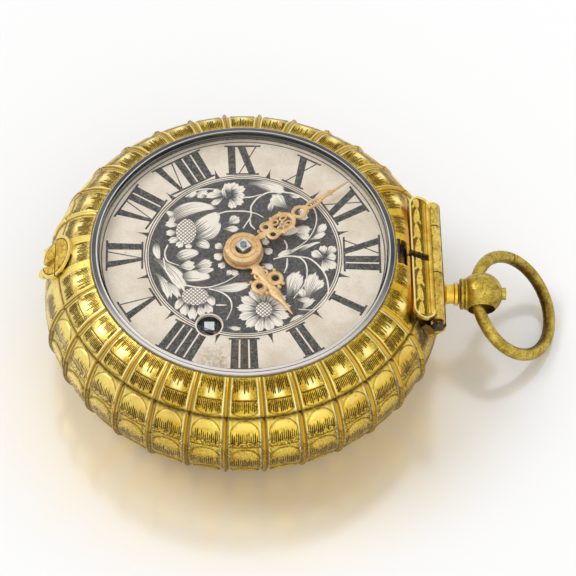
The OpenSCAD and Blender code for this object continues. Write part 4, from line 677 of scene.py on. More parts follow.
# Leaves and petals of the engraved centre: foot, tip, half width, bend, teeth at the tip
flowers = {
    "bloom": [
        (-10.6, 6, -4.3, 8, 1.01, 1.2, 0), (-6.8, 4, -3.7, 7.2, 1.29, -0.2, 0),
        (-6.5, 2.8, -3.5, 5.5, 0.82, -0.6, 0), (-9.1, 5.2, -11.1, 5.5, 0.47, 0, 2), (-9.3, 4, -11, 3.8, 0.47, 0, 2),
        (-8.9, 3.1, -10.6, 2.3, 0.47, 0, 2), (-8.4, 2.5, -9.4, 1.4, 0.47, 0, 2), (-7.7, 2.2, -7.8, 1.1, 0.43, 0, 2),
        (-6.6, 2.2, -4.9, 1.3, 0.7, 0.2, 0), (-10, 6.5, -10.9, 7.6, 0.43, -0.2, 0),
        (-2.8, 4.5, -0.6, 4.5, 0.47, 0, 3), (-2.1, 5.4, -0.6, 6.6, 0.7, 0, 3),
    ],
    "tulip": [
        (-9.4, -0.5, -6.5, 0.4, 0.86, 0.2, 0), (-9.1, -2, -6.8, -1.7, 0.74, 0, 2), (-6.8, -2, -4.4, -1.3, 0.7, 0, 3),
        (-8.6, -3.8, -4.9, -3.8, 0.9, 0.2, 0), (-6.7, -3, -4.3, -2.5, 0.51, 0, 0),
    ],
    "border": [
        (-12.3, 2.1, -11.9, -0.5, 0.51, -0.2, 0), (-12.6, -0.5, -8.5, -6.4, 0.86, 0.8, 3),
        (-12.4, -3, -10.5, -7.6, 0.58, 0.5, 2), (-11.4, -4.3, -9.1, -7.5, 0.47, 0.4, 2),
        (-9.8, 7.2, -11, 5.2, 0.39, 0.3, 0), (-5.2, -5.8, 1.1, -4.9, 0.66, -0.4, 3),
        (-7.2, 10.6, -5, 11.3, 0.43, -0.2, 2), (-8, 10.2, -6.7, 11, 0.35, -0.1, 0),
        (8, -9.7, 10, -7.7, 0.39, 0.2, 2), (-2.4, -12.3, -0.4, -12.6, 0.31, -0.1, 2),
        (5.9, -12.7, 8.3, -10.4, 0.47, 0.2, 3),
    ],
    "thistle": [
        (-8.5, -7.5, -9.4, -9.2, 0.51, -0.1, 0), (-8, -8.2, -8.5, -10.4, 0.55, 0, 2),
        (-7.1, -8.6, -7.2, -11.1, 0.58, 0, 2), (-6.2, -8.6, -5.8, -10.4, 0.51, 0, 2),
        (-5.4, -8.2, -4.6, -10, 0.55, 0, 2), (-5, -7.1, -4.3, -8.6, 0.55, 0.1, 0),
    ],
    "topFlower": [
        (-1.9, 11, -2.3, 12.7, 0.58, 0, 2), (-1.7, 11.3, -0.9, 12.7, 0.58, 0, 2),
        (-1.4, 10.9, 0.3, 11.9, 0.55, 0, 2), (-1.3, 10.5, 0.3, 10.2, 0.58, 0, 2), (-1.4, 10, 0, 8.9, 0.55, 0, 2),
        (-1.8, 9.8, -1.3, 8.1, 0.55, 0, 2), (-2.3, 10, -2.3, 12.2, 0.27, 0.5, 0),
        (-2.8, 10.9, -4.3, 11.4, 0.39, 0, 2), (-2.8, 10.5, -5.4, 10.2, 0.47, -0.2, 2),
        (-2.8, 10, -4.6, 8.9, 0.43, 0.1, 2), (-5.4, 10.5, -6.5, 10.2, 0.35, 0, 0),
    ],
    "upperRight": [
        (0.8, 12.6, 6.1, 10.7, 0.86, 0.6, 3), (2, 12.4, 5, 11.7, 0.43, 0, 2), (6.3, 8.2, 4.3, 10.5, 0.97, 0.2, 3),
        (3.9, 7.6, 4.4, 9.2, 0.39, 0.2, 0), (6.7, 10.6, 8.3, 10.2, 0.31, -0.2, 0),
    ],
    "rightFlower": [
        (5.2, 3.8, 7.9, 4.3, 0.66, 0, 0), (6.7, 4.5, 9.7, 4.5, 0.7, -0.3, 3), (7.4, 3.5, 9.4, 2.8, 0.58, 0.2, 3),
        (8.3, 6.1, 9.3, 8.3, 0.58, 0.2, 3), (10.4, 3.4, 11.8, 5.3, 0.51, 0, 3), (9.4, 2.5, 11.7, 3.8, 0.39, -0.1, 2),
        (4.8, 4.3, 6.3, 5.6, 0.51, 0, 2), (7.8, 6.1, 9.3, 6.7, 0.43, 0, 2),
    ],
    "rightLeaves": [
        (11.3, -0.5, 9.6, 0.4, 0.58, 0, 3), (11.5, 0, 11.2, 1.5, 0.51, 0, 2), (11.8, 0, 13, 1.3, 0.58, 0, 3),
        (11.7, -0.7, 13.1, -0.3, 0.58, 0, 3), (11.5, -0.9, 13, -2.5, 0.62, 0, 3), (11.2, -1, 11.7, -3, 0.47, 0, 2),
        (7.2, 0.6, 5, -0.3, 0.43, -0.2, 0), (8.1, 0.6, 10.7, 2, 0.27, 0.2, 0),
    ],
    "lowerRight": [
        (6.3, -7.1, 7.9, -3, 0.9, 0.3, 3), (7.2, -7.1, 8.2, -3.6, 0.58, 0.2, 2),
        (8.9, -7.7, 10.2, -3.2, 0.86, 0.2, 3), (9.8, -6.6, 11.2, -4.5, 0.66, 0.2, 3),
        (8.5, -7.7, 8, -5.9, 0.47, 0, 2), (7.4, -7.7, 9.4, -7.7, 0.43, -0.2, 3),
    ],
    "roundHub": [
        (-2.8, 1.1, -4, 1.8, 0.51, 0, 3), (-2.8, 0.2, -4.1, -0.7, 0.58, 0, 3), (-2.6, -1.2, -3.4, -2.3, 0.47, 0, 2),
        (2.8, 1.1, 4.1, 0.2, 0.51, 0, 3), (2.6, -1.6, 4.2, -2.4, 0.47, 0, 3), (2.6, 2.7, 3.6, 1.8, 0.43, 0, 2),
        (-1.7, -2.5, -0.9, -3.6, 0.43, 0, 2), (-2.4, -3.6, -1.7, -2.7, 0.39, 0, 2),
    ],
}
stems = [
    [(-10.7, 1.8), (-11.1, 0.4), (-10.7, -1), (-9.1, -1.8)],
    [(-11.3, -0.5), (-10.7, -3), (-8.5, -5), (-5.4, -5.6), (-2.8, -4.8), (-0.6, -3.3)],
    [(-4.9, -5.8), (-3.2, -6.4), (-2, -7.5), (-1.7, -9.1), (-2.4, -11.1)],
    [(-3.9, -8.6), (-2.4, -8.6)],
    [(-3.5, 7.2), (-2.1, 7.6), (0.2, 7.6), (1.8, 7.2), (2.9, 6.5)],
    [(0, 4.6), (1.1, 6.7), (1.2, 8.5), (2.4, 10.2), (4.2, 11), (7.2, 10.7), (9.3, 9.3), (10.4, 7.2), (10.3, 4.9),
     (9.1, 2.5), (7.2, 0.9), (5, -0.5)],
    [(0, 10.1), (1.1, 10.1), (2.6, 10.6)],
    [(1, 6.2), (1.1, 5.2), (1.7, 4.4)],
    [(4.2, -0.8), (6.1, -0.3), (8, -0.6), (8.9, -2.1), (8.7, -4.8), (7, -7.5)],
    [(7.2, -0.3), (9.4, -0.8), (11.1, -2.7), (11.8, -4.8), (11.7, -7.3), (10, -9.4), (7.6, -9.4)],
    [(5.8, 2.5), (6.2, 1.5), (6.1, 0.6)],
    [(6.2, -0.7), (6.1, -2.1), (5.7, -3.2)],
    [(6.8, 0.4), (8.7, 1.5), (10.9, 2)],
    [(-8.2, 10.2), (-6.5, 11.4), (-4.3, 11.6), (-2.8, 11)],
    [(3.9, 8.3), (4.3, 9.3), (4.6, 10.6)],
]
seedHeads = [(-8.1, 4.1, 1.44, 2.2), (-6.8, -7.1, 1.9, 1.5), (2.8, -9.4, 1.15, 1.25)]
daisy = {"at": (2.8, -9.4), "petals": 13, "inner": (1.0, 1.1), "outer": (3.8, 3.914), "half": 0.62, "teeth": 3}
stemRelief = {"half": 0.13, "height": 0.03, "lift": 0.02, "seedLift": 0.03, "seedHeight": 0.09}
petalRelief = {"height": 0.05, "grow": 1.28, "longer": 1.1, "long": 11, "wide": 9, "reach": 13.32}


def petalPoints(x0, y0, x1, y1, half, bend, teeth, z):
    size = petalRelief
    t, s = np.meshgrid(np.linspace(0, 1, size["long"]), np.linspace(-1, 1, size["wide"]), indexing="ij")
    t, s = t.ravel(), s.ravel()
    run = np.array([x1 - x0, y1 - y0], float)
    normal = np.array([-run[1], run[0]]) / np.hypot(*run)
    run *= size["longer"]
    if teeth:
        notch = np.abs((s + 1) / 2 * teeth % 1 - 0.5) * 2
        reach = t * (1 - 0.2 * s * s - 0.16 * notch * t)
        width = half * (0.28 + 0.85 * ease(t, 0, 0.75)) * (1 - 0.3 * ease(t, 0.75, 1))
    else:
        reach = t
        width = np.where(t < 1, half * np.sin(np.pi * (0.06 + 0.94 * t ** 0.8)).clip(0) ** 0.6, 0.02)
    points = np.array([x0, y0]) + np.outer(reach, run)
    points += np.outer(bend * 4 * reach * (1 - reach) + s * width * size["grow"], normal)
    points *= np.minimum(1, size["reach"] / np.hypot(*points.T))[:, None]
    return np.column_stack([points, z + size["height"] * (1 - s * s) * (0.35 + 0.65 * np.sin(np.pi * t))]), t, s


def makePetals():
    petals = [p for group in flowers.values() for p in group]
    for k in range(daisy["petals"]):
        a = 2 * math.pi * (k + 0.3) / daisy["petals"]
        ends = [at + reach * way for key in ("inner", "outer")
                for at, reach, way in zip(daisy["at"], daisy[key], (math.cos(a), math.sin(a)))]
        petals.append((*ends, daisy["half"], 0, daisy["teeth"]))
    quads = sheet(petalRelief["long"], petalRelief["wide"])[1]
    rolls = random.Random(7)
    maker, kept = Maker(), {"along": [], "side": [], "seed": []}
    for order, petal in enumerate(petals):
        points, t, s = petalPoints(*petal, dial["face"] + dial["lift"] + dial["petalLayer"] * (order % 17))
        near = np.hypot(*(points[:, :2] - dial["windAt"]).T) < dial["windClear"]  # the winding hole stays open
        maker.add(points, quads[~near[quads].any(1)])
        for values, more in zip(kept.values(), (t, s, [rolls.random()] * len(t))):
            values.extend(more)
    finish = Finish("cutPetals", "silver", Metallic=0.15)
    t, s, own = finish.values("along", "side", "seed")
    line = s * 4.5 + 20.25 + own
    length = finish.chance(line.whole() + own * 31) * 0.75 + 0.22
    strokes = ((line.part() - 0.5).size() < (1 - t / length) * 0.42) * 0.95
    rim = s.size().ramp(0.74, 0.86).larger(t.ramp(0.9, 0.97))
    shade = (strokes.larger(rim) + (1 - t.ramp(0, 0.35)) * 0.7).smaller(1)
    finish.start(shade * 0.92, dialTones["petal"], dialTones["petalShade"])
    finish.done(Roughness=0.36 + 0.2 * shade, Normal=finish.bump(1 - shade, 0.5, 0.03))
    keepValues(maker.piece("dialPetals", finish, "movement"), kept)


def smoothPath(line, steps):  # a round curve through points in the plane
    p = [np.array(q, float) for q in line]
    if len(p) == 2:
        return [p[0] + (p[1] - p[0]) * k / steps for k in range(steps + 1)]
    p = [2 * p[0] - p[1]] + p + [2 * p[-1] - p[-2]]
    out = []
    for a, b, c, d in zip(p, p[1:], p[2:], p[3:]):
        for t in np.arange(steps) / steps:
            bend = (2 * a - 5 * b + 4 * c - d) * t ** 2 + (3 * b - a - 3 * c + d) * t ** 3
            out.append(0.5 * (2 * b + (c - a) * t + bend))
    return out + [p[-2]]


def makeStems():
    maker = Maker()
    for line in stems:
        path = smoothPath(line, 8)
        count = len(path)
        wide = [stemRelief["half"] * (0.55 + 0.45 * math.sin(math.pi * min(1, 0.15 + k / count))) for k in range(count)]
        z = dial["face"] + dial["lift"] + stemRelief["lift"]
        maker.tube([(x, y, z) for x, y in path], wide, stemRelief["height"], False, 8)
    finish = Finish("brightCutSilver", "silver", Metallic=0.3, Roughness=0.35)
    finish.start(finish.noise(2, 3).ramp(0.5, 0.8) * 0.5, dialTones["petal"], dialTones["speck"])
    maker.piece("dialStems", finish.done(), "movement")


def makeSeedHeads():
    maker = Maker()
    steps, sides = 6, 36
    for x, y, wide, long in seedHeads:
        profile = [(wide * t, dial["face"] + stemRelief["seedLift"] + stemRelief["seedHeight"] * math.sqrt(1 - t * t))
                   for t in np.linspace(0, 1, steps + 1)]
        maker.rings(revolve(profile, sides, (x, y), long / wide), sides, flip=False)
    finish = Finish("hatchedSeeds", "silver", Metallic=0.3, Roughness=0.42)
    x, y, _ = finish.split()
    first, second = ((x + y) * 1.7).part(), ((x - y) * 1.7 + 40).part()
    hatch = ((first - 0.5).size() > 0.36).larger((second - 0.5).size() > 0.36)
    finish.start(hatch * 0.85, dialTones["petal"], dialTones["petalShade"])
    maker.piece("seedHeads", finish.done(Normal=finish.bump(1 - hatch, 0.6, 0.04)), "movement")


silvering = makeSilvering()
dress(silvering, "dial", "regulator_disc")
makeNumerals()
makeGround()
makePetals()
makeStems()
makeSeedHeads()
print("dial engraved")

# Hands, drawn along x before they turn to their angles. Loops: place, radii, half width and height of the
# wire. Beads: place and radius. Those named pairs stand on both sides of the middle line.
hands = {
    "minuteHand": {
        "rides": "cannon", "replaces": "minute_hand", "angle": 38.6, "slope": 0.045, "z": 21.26, "thick": 0.2,
        "stems": [
            [(2.3, 0.5), (2.9, 0.42), (3.2, 0.5), (3.45, 0.72), (3.7, 0.5), (4.0, 0.45), (5.4, 0.3)],
            [(8.7, 0.35), (9.0, 0.55), (9.25, 0.35)], [(11.2, 0.3), (11.45, 0.5), (11.7, 0.28)],
            [(14.0, 0.22), (14.35, 0.38), (14.9, 0.27), (15.6, 0.26), (15.85, 0.42), (16.05, 0.42), (16.3, 0.26),
             (17.2, 0.2), (19, 0.13), (20.2, 0.04)]],
        "loopPairs": [(4.75, 0.8, 0.68, 0.64, 0.26, 0.2), (6.3, 0.66, 0.5, 0.36, 0.16, 0.15),
                      (7.7, 0.56, 0.5, 0.32, 0.15, 0.15)],
        "loops": [(7.05, 0, 1.8, 1.42, 0.34, 0.2), (7.05, 0, 1.5, 1.12, 0.07, 0.24), (10.3, 0, 1.0, 0.84, 0.27, 0.2),
                  (12.85, 0, 1.25, 0.44, 0.22, 0.2)],
        "beadPairs": [(3.45, 0.85, 0.22), (6.2, 1.62, 0.2), (7.9, 1.62, 0.2), (10.3, 1.02, 0.18), (5.5, 1.32, 0.2),
                      (8.9, 0.62, 0.2), (11.45, 0.42, 0.18), (15.95, 0.36, 0.16)],
        "beads": [(7.1, 0, 0.28), (10.3, 0, 0.2)],
        "hub": {"bore": 1.16, "outer": 2.6, "low": 21.12, "high": 22.2, "line": 1.85},
    },
    "hourHand": {
        "rides": "hour", "replaces": "hour_hand", "angle": -57.6, "slope": 0, "z": 20.95, "thick": 0.24,
        "stems": [
            [(2.7, 0.75), (3.3, 0.62), (3.6, 0.95), (3.95, 0.95), (4.2, 0.62), (5.0, 0.6), (6.3, 0.5), (7.2, 0.5),
             (7.7, 0.7), (8.3, 0.8), (9.0, 0.62), (9.5, 0.36), (9.75, 0.48), (10.0, 0.38), (11.4, 0.26),
             (12.4, 0.12), (12.7, 0.04)]],
        "loopPairs": [(6.2, 1.3, 0.9, 0.86, 0.34, 0.2), (6.25, 1.3, 0.62, 0.6, 0.07, 0.24),
                      (4.6, 0.6, 0.42, 0.36, 0.2, 0.17)],
        "loops": [],
        "beadPairs": [(7.5, 1.75, 0.3), (7.75, 1.0, 0.3), (4.95, 1.95, 0.26), (3.78, 0.95, 0.2)],
        "beads": [],
        "hub": {"bore": 1.27, "outer": 2.85, "low": 20.66, "high": 21.06, "line": 2.72},
    },
}
roseGilding = metal("roseGilding", "rose_gilt", look((242, 204, 150), (222, 170, 112), (136, 90, 54), 0.52, cloud=0.5,
                                                     grain=3.5, dirt=0.5, dirtFrom=0.52, bump=0.8, metallic=0.35))


def mirrored(pairs):
    return [(x, side * y, *more) for side in (-1, 1) for x, y, *more in pairs]


def makeHand(name, hand):
    maker = Maker()
    z, thick = hand["z"], hand["thick"]
    for stations in hand["stems"]:
        wide = [w for _, w in stations]
        maker.tube([(x, 0, z) for x, _ in stations], [max(0.03, w) for w in wide],
                   [min(thick, max(0.07, w * 0.9)) for w in wide], False, 12)
    for x, y, along, over, wide, high in mirrored(hand["loopPairs"]) + hand["loops"]:
        maker.tube([(x + along * math.cos(a), y + over * math.sin(a), z) for a in turn(28)], wide, high, True, 8)
    for x, y, r in mirrored(hand["beadPairs"]) + hand["beads"]:
        maker.bead((x, y, z), r)
    c, s = math.cos(math.radians(hand["angle"])), math.sin(math.radians(hand["angle"]))
    maker.points = [(x * c - y * s, x * s + y * c, z + hand["slope"] * (20 - x)) for x, y, z in maker.points]
    bore, outer, low, high, line = hand["hub"].values()
    edge = 0.14
    profile = [(bore, low), (bore, high - 0.08), (bore + 0.06, high), (line - 0.08, high), (line - 0.03, high - 0.12),
               (line + 0.03, high - 0.12), (line + 0.08, high - 0.01), (outer - edge, high - 0.01),
               (outer - edge * 0.3, high - edge * 0.4), (outer, high - edge), (outer, low + 0.06), (outer - 0.06, low)]
    maker.rings(revolve(profile, 96), 96, closed=True, flip=False)
    softEdges(maker.piece(name, roseGilding, hand["rides"], [hand["replaces"]]), 50)


for name, hand in hands.items():
    makeHand(name, hand)
print("hands formed")


lug = {"from": 21.9, "dirt": 0.95}
bow = {"at": (39.42, 0.775, 6.16), "along": (0.766, 0.118, -0.632), "inside": (6.8, 7.4), "joint": (0.06, 0.16)}


def lugDirt(finish):  # the hinge lug of the pillar plate is browned with old oil
    return (finish.split()[0] > lug["from"]) * lug["dirt"]


def bowShadeAndJoint(finish):  # painted shade in brown along the inside of the ring, and the dark joint across it
    spot = finish.vector("SUBTRACT", finish.place(), bow["at"])
    along = finish.vector("DOT_PRODUCT", spot, bow["along"], result=1)
    inside = 1 - finish.vector("LENGTH", spot, result=1).ramp(*bow["inside"])
    brown = inside * along.ramp(-3, 1) * (0.5 + 0.9 * finish.noise(1.2, 4))
    return brown.larger((1 - along.size().ramp(*bow["joint"])) * (finish.split(spot)[1] > 0)).smaller(1)


# Looks: colour, second colour, dirt and shade colour and roughness, then what differs from the plain values
plain = look((232, 200, 84), (206, 158, 44), (84, 56, 22), 0.3, cloud=0.5, dirt=0.5, bump=0.5)
old = look((206, 180, 84), (160, 134, 52), (84, 62, 24), 0.36, cloud=0.6, grain=4, dirt=0.75, dirtFrom=0.49,
           bump=0.5, brush=(1, 1, 3))
worn = look((228, 200, 100), (190, 152, 60), (74, 56, 30), 0.36, cloud=0.7, grain=2.6, dirt=0.8, dirtFrom=0.5,
            bump=0.7, brush=(1, 0.4, 1))
brass = look((226, 190, 108), (204, 160, 76), (118, 88, 42), 0.38, cloud=0.3, grain=6, dirt=0.3, bump=0.3)
steel = look((150, 152, 156), (122, 124, 130), (70, 62, 56), 0.26, cloud=0.5, grain=5, dirt=0.35, bump=0.25,
             brush=(3, 3, 0.6))
blued = look((40, 58, 128), (58, 46, 110), (24, 24, 40), 0.24, cloud=0.6, grain=4, dirt=0.3, bump=0.2)
rust = look((92, 76, 66), (64, 52, 48), (40, 30, 24), 0.5, cloud=0.8, grain=5, dirt=0.6, bump=0.8)
iron = look((62, 64, 68), (46, 47, 50), (40, 30, 26), 0.5, cloud=0.6, grain=4, dirt=0.6, metallic=0.25)
copper = look((206, 140, 104), (180, 112, 80), (100, 60, 40), 0.36)
bright = look((226, 226, 228), (196, 196, 200), (110, 106, 102), 0.3, cloud=0.5, grain=5, dirt=0.3, bump=0.25)
band = look((70, 73, 76), (54, 56, 60), (40, 38, 36), 0.35, cloud=0.25, grain=4, dirt=0.3, bump=0.15)
# Metals: slot, look, stains and painted shade, and the CAD pieces that wear each one
metals = {
    "plainGilding": ("gilt", plain, None, "pendant_neck"),
    "oldGilding": ("old_gilt", old, None, "pendant_ball"),
    "bowGilding": ("old_gilt", old, bowShadeAndJoint, "bow_ring"),
    "wornGilding": ("gilt", worn, None, "case_hinge"),
    "seatGilding": ("gilt", plain, rustNearPin, ""),
    "plateBrass": ("gilt_brass", brass, lugDirt, "pillar_plate"),
    "gildedBrass": ("gilt_brass", brass, None,
                    "dial_edge pillars top_plate barrel barrel_cover great_wheel fusee_cone second_wheel third_wheel "
                    "contrate_wheel crown_wheel potence counter_potence balance_wheel balance_cock drive_wheel "
                    "minute_wheel hour_wheel"),
    "polishedSteel": ("steel", steel, None,
                      "case_hinge_pin lift_pin pillar_pins barrel_arbor setup_ratchet setup_click chain stop_arm "
                      "stop_spring second_arbor third_arbor contrate_arbor crown_arbor verge_staff spring_stud "
                      "motion_posts regulator_rack movement_bolt"),
    "bluedSteel": ("blued_steel", blued, None, "mainspring balance_spring cock_screw"),
    "rustySteel": ("steel", rust, None, ""),
    "darkIron": ("steel", iron, None, "lift_block"),
    "copperFeet": ("rose_gilt", copper, None, "dial_feet"),
    "brightSteel": ("steel", bright, None, "fusee_arbor cannon_pinion"),
    "bandSteel": ("silver", band, None, "glass_ring"),
}
finishes = {}
for name, (slotName, tone, stainsAndShade, wearers) in metals.items():
    finishes[name] = metal(name, slotName, tone, stainsAndShade)
    dress(finishes[name], *wearers.split())


def leafMask(x, y):  # overlapping pointed leaves one above the other, 1 inside, 0 on the lines between
    step = y / hingePlate["leafPitch"] + 0.15 * np.sin(x * 3)
    part = step - np.floor(step)
    side = np.where(np.floor(step) % 2 == 0, 1, -1)
    half = 0.5 * np.sin(np.pi * np.clip(part * 0.9 + 0.08, 0, 1)) ** 0.7
    lean = -0.58 + 0.3 * side * (part - 0.45)
    curl = np.hypot(x + 0.58 - 0.42 * side, (part - 0.2) * 2.2)  # small round leaf beside each long one
    return np.maximum(ease(half - np.abs(x - lean), -0.05, 0.07), ease(0.3 - curl, -0.04, 0.06))


def makeCoverGilding():
    cover, tone = Finish("engravedGilding", "gilt"), plain
    x, y, slot, border, leaf, ridge = cover.values("plateX", "plateY", "slot", "border", "leaf", "ridge")
    fine = cover.noise(4, 4, 0.7)
    ground = (x < 0.32) * (x > -1.36) * (1 - leaf) * (0.55 + 0.6 * fine)
    veins = ((y * 5.2 + x * 3.6).part() < 0.34) * (leaf > 0.6) * (fine > 0.5)
    hatch = (((y * 6.5 - x * 5).part() < 0.4) * 0.4 + 0.5 * fine) * (x > 0.05) * (x < 0.56)
    between = (1 - ridge) * (x > 0.5) * 0.5
    dark = ((leaf > 0.12) * (leaf < 0.75) * 0.75).larger(ground).larger(veins * 0.7).larger(hatch).larger(between)
    dark = dark * (1 - border)
    cover.start(cover.noise(0.6, 3).ramp(0.4, 0.65), tone["colour"], tone["second"])
    cover.over(leaf * (1 - veins) * 0.5, rgb(250, 222, 110))
    cover.over((dark * (0.75 + 0.5 * fine)).smaller(0.92), tone["dirtAndShadeColour"])
    cover.over(border * 0.8, rgb(238, 222, 150))
    cover.over(fine.ramp(0.6, 0.72) * 0.5, tone["dirtAndShadeColour"])
    # painted shade: the slot in the cover drawn dark brown
    cover.over(slot, rgb(46, 30, 14))
    return cover.done(Roughness=0.28 + 0.25 * dark + 0.3 * slot, Metallic=1 - slot * 0.7,
                      Normal=cover.bump(fine * 0.3 - dark, 0.6, 0.08))


def makeHingePlate():
    size = hingePlate
    cols, rows = size["columns"], size["rows"]
    end = size["halfStraight"] + size["halfWide"] - 0.02
    y, share = np.meshgrid(np.linspace(-end, end, rows + 1), np.linspace(-1, 1, cols + 1), indexing="ij")
    past = np.maximum(0, np.abs(y) - size["halfStraight"])
    x = np.sqrt(np.maximum(0, size["halfWide"] ** 2 - past ** 2)) * share
    edge = size["halfWide"] - np.hypot(x, past)
    edge = np.where((x > 0) & (past == 0), np.maximum(edge, 0.35), edge)  # no border beside the knuckles
    border = ease(edge, size["border"] + 0.16, size["border"])
    leaf = leafMask(x, y) * ((x > -1.3) & (x < 0.2) & (np.abs(y) < end - 0.5))
    ridge = np.maximum(groove(x - 0.72, 0.09), groove(x - 1.16, 0.16)) * (np.abs(y) < end - 1)
    lift = size["thick"] - 0.1 + size["raise"] * border + 0.12 * leaf + 0.14 * ridge
    lift += 0.15 * np.maximum(0, 0.4 - x) - 0.3 * np.maximum(0, (x - 1.35) / 0.3) ** 2
    slot = (np.abs(y + size["slotLean"] * (x - 0.2)) < size["slotHalf"]) & (x < size["slotTo"])
    lift = np.where(slot, 0.05, lift)

    cell, faces = sheet(rows + 1, cols + 1)
    rim = np.concatenate([cell[0], cell[1:, -1], cell[-1, -2::-1], cell[-2:0:-1, 0]])
    low, k = cell.size, np.arange(len(rim))
    sides = np.stack([np.roll(rim, -1), rim, low + k, low + (k + 1) % len(rim)], 1)
    x, y, lift = (np.append(v, v.ravel()[rim] * kept) for v, kept in ((x, 1), (y, 1), (lift, 0)))
    c, s = math.cos(math.radians(size["tilt"])), math.sin(math.radians(size["tilt"]))
    points = np.column_stack([size["at"][0] + x * c + lift * s, y, size["at"][2] - x * s + lift * c])
    piece = meshPiece("hingeCover", points, [*faces[:, [0, 3, 2, 1]], *sides], makeCoverGilding(), "lid", True,
                      ["hinge_plate"])
    flat = np.zeros(len(rim))
    keepValues(piece, {"plateX": x, "plateY": y, "slot": np.append(slot, flat), "border": np.append(border, flat),
                       "leaf": np.append(leaf, flat), "ridge": np.append(ridge, flat)})
    softEdges(piece, 55)


def makeHingeBarrels():
    size = hingePlate
    barrels = Maker()
    r, long = size["knuckleR"], size["knuckleLong"] - 2 * size["play"]
    for k in size["knuckles"]:
        start = -size["hingeLong"] / 2 + k * size["knuckleLong"] + size["play"]
        barrels.turned([(0.5, 0), (r - 0.08, 0), (r, 0.08), (r, long - 0.08), (r - 0.08, long), (0.5, long)],
                       (case["hingeX"], start, case["hingeZ"]), (0, 1, 0), 40)
    softEdges(barrels.piece("hingeBarrels", finishes["wornGilding"], "lid"))


hingeSeat = {
    "trough": 1.17, "steps": 40, "roundR": 28.9, "inward": 1.95, "roundFrom": 1, "roundOver": 3,
    "side": [(-1.7, 0.1), (-2.5, -0.6), (-2.5, -3.4), (-0.4, -4.3), (0.75, -2.9), (1.32, -1.4)],  # from the pin
}


def makeHingeSeat():  # the raised seat under the knuckles, part of the back, rounded with the case below
    seat, half = hingeSeat, case["hingeHalf"]
    side = [(seat["trough"] * math.cos(a), seat["trough"] * math.sin(a)) for a in np.radians(range(-8, -173, -11))]
    points = []
    for y in np.linspace(-half, half, seat["steps"] + 1):
        curve = math.sqrt(seat["roundR"] ** 2 - y ** 2) - math.sqrt(seat["roundR"] ** 2 - half ** 2) - seat["inward"]
        points += [(case["hingeX"] + x + curve * np.clip((-seat["roundFrom"] - z) / seat["roundOver"], 0, 1), y,
                    case["hingeZ"] + z) for x, z in side + seat["side"]]
    maker = Maker()
    maker.rings(points, len(side + seat["side"]), flip=False, capped=True)
    softEdges(maker.piece("hingeSeat", finishes["seatGilding"], "case"))


pinHead = {
    "sides": 24, "teeth": (0.78, 0.92), "at": -10.4,
    "profile": [(0.3, 0.12), (0.82, 0), (0.95, -0.15), (0.95, -0.6), (0.7, -0.78), (0.2, -0.8)],
}


def makeRustyEnd():  # worn milled end of the hinge pin towards III
    points, last = [], len(pinHead["profile"]) - 1
    for j, (r, h) in enumerate(pinHead["profile"]):
        for k, a in enumerate(turn(pinHead["sides"])):
            q = r * pinHead["teeth"][k % 2] if 0 < j < last else r
            points.append((case["hingeX"] + q * math.cos(a), pinHead["at"] + h, case["hingeZ"] + q * math.sin(a)))
    maker = Maker()
    maker.rings(points, pinHead["sides"], capped=True)
    softEdges(maker.piece("pinHead", finishes["rustySteel"], "case"), 40)


# Painted reflections in the glass's bevel, drawn as a grey metal edge: a dark band on the far side and dark lines,
# from, full, last and gone as radii, then strength
bevelReflections = {"from": (20.56, 20.66), "share": 0.85, "wide": (20.78, 20.84, 21.38, 21.42), "lines": [
    ((20.98, 21.02, 21.08, 21.12), 1), ((20.56, 20.58, 20.62, 20.66), 0.8), ((21.42, 21.44, 21.46, 21.48), 0.5)]}


def makeGlass():
    clear = Finish("clearGlass", "glass", IOR=1.16, Transmission_Weight=1.0, Base_Color=rgb(250, 253, 252))
    smear = clear.noise(0.12, 3)
    clear.feed(Roughness=0.01 + 0.05 * smear.ramp(0.45, 0.8))
    thin = clear.node("BsdfTransparent", {0: (0.97, 0.985, 0.98, 1)})
    shadow, diffuse = (clear.node("LightPath", result=f"Is {ray} Ray") for ray in ("Shadow", "Diffuse"))
    body = Wire(clear.tree, clear.body.outputs[0])
    pane = clear.node("MixShader", {0: shadow.larger(diffuse), 1: body, 2: thin})
    x, y, _ = clear.split()
    radius = (x * x + y * y) ** 0.5
    # painted reflection: darker on the far side of the bevel, with thin dark lines round it
    dark = radius.band(*bevelReflections["wide"]) * (y / radius).ramp(-0.85, -0.3)
    for edges, strength in bevelReflections["lines"]:
        dark = dark.larger(radius.band(*edges) * strength)
    shade = clear.blend(dark * (0.8 + 0.3 * smear), rgb(226, 220, 212), rgb(64, 67, 70))
    edge = clear.node("BsdfPrincipled", {"Base Color": shade, "Roughness": 0.3, "Metallic": 0.6})
    amount = radius.ramp(*bevelReflections["from"]) * bevelReflections["share"]
    whole = clear.node("MixShader", {0: amount, 1: pane, 2: edge})
    connect(clear.tree, clear.out.inputs[0], whole)
    return clear


clasp = {"at": (-26.2, 1.05, 18.35), "border": (2.95, 3.02), "line": (2.76, 2.82, 2.93, 2.99)}


def makeClaspGilding():  # light raised border and cut leaves on the half moon, painted shade as a brown line in its gap
    finish, tone = Finish("claspGilding", "gilt", Metallic=1.0), plain
    radius = finish.vector("DISTANCE", finish.place(), clasp["at"], result=1)
    fine = finish.noise(4, 4, 0.7)
    border = radius.ramp(*clasp["border"])
    leaves = finish.node("TexVoronoi", {"Vector": finish.place(), "Scale": 0.8}, feature="DISTANCE_TO_EDGE")
    cut = (1 - leaves.ramp(0.04, 0.12)) * (1 - border) * 0.45
    # painted shade in the band just inside the border, added to the cut leaves and dark specks
    dark = radius.band(*clasp["line"]).larger(cut).larger(fine.ramp(0.56, 0.68) * 0.7)
    finish.start(finish.noise(0.8, 3).ramp(0.4, 0.65), tone["colour"], tone["second"])
    finish.over(border * 0.7, rgb(246, 226, 140))
    finish.over(dark * 0.85, tone["dirtAndShadeColour"])
    return finish.done(Roughness=0.28 + 0.25 * dark, Normal=finish.bump(fine * 0.3 - dark, 0.6, 0.08))


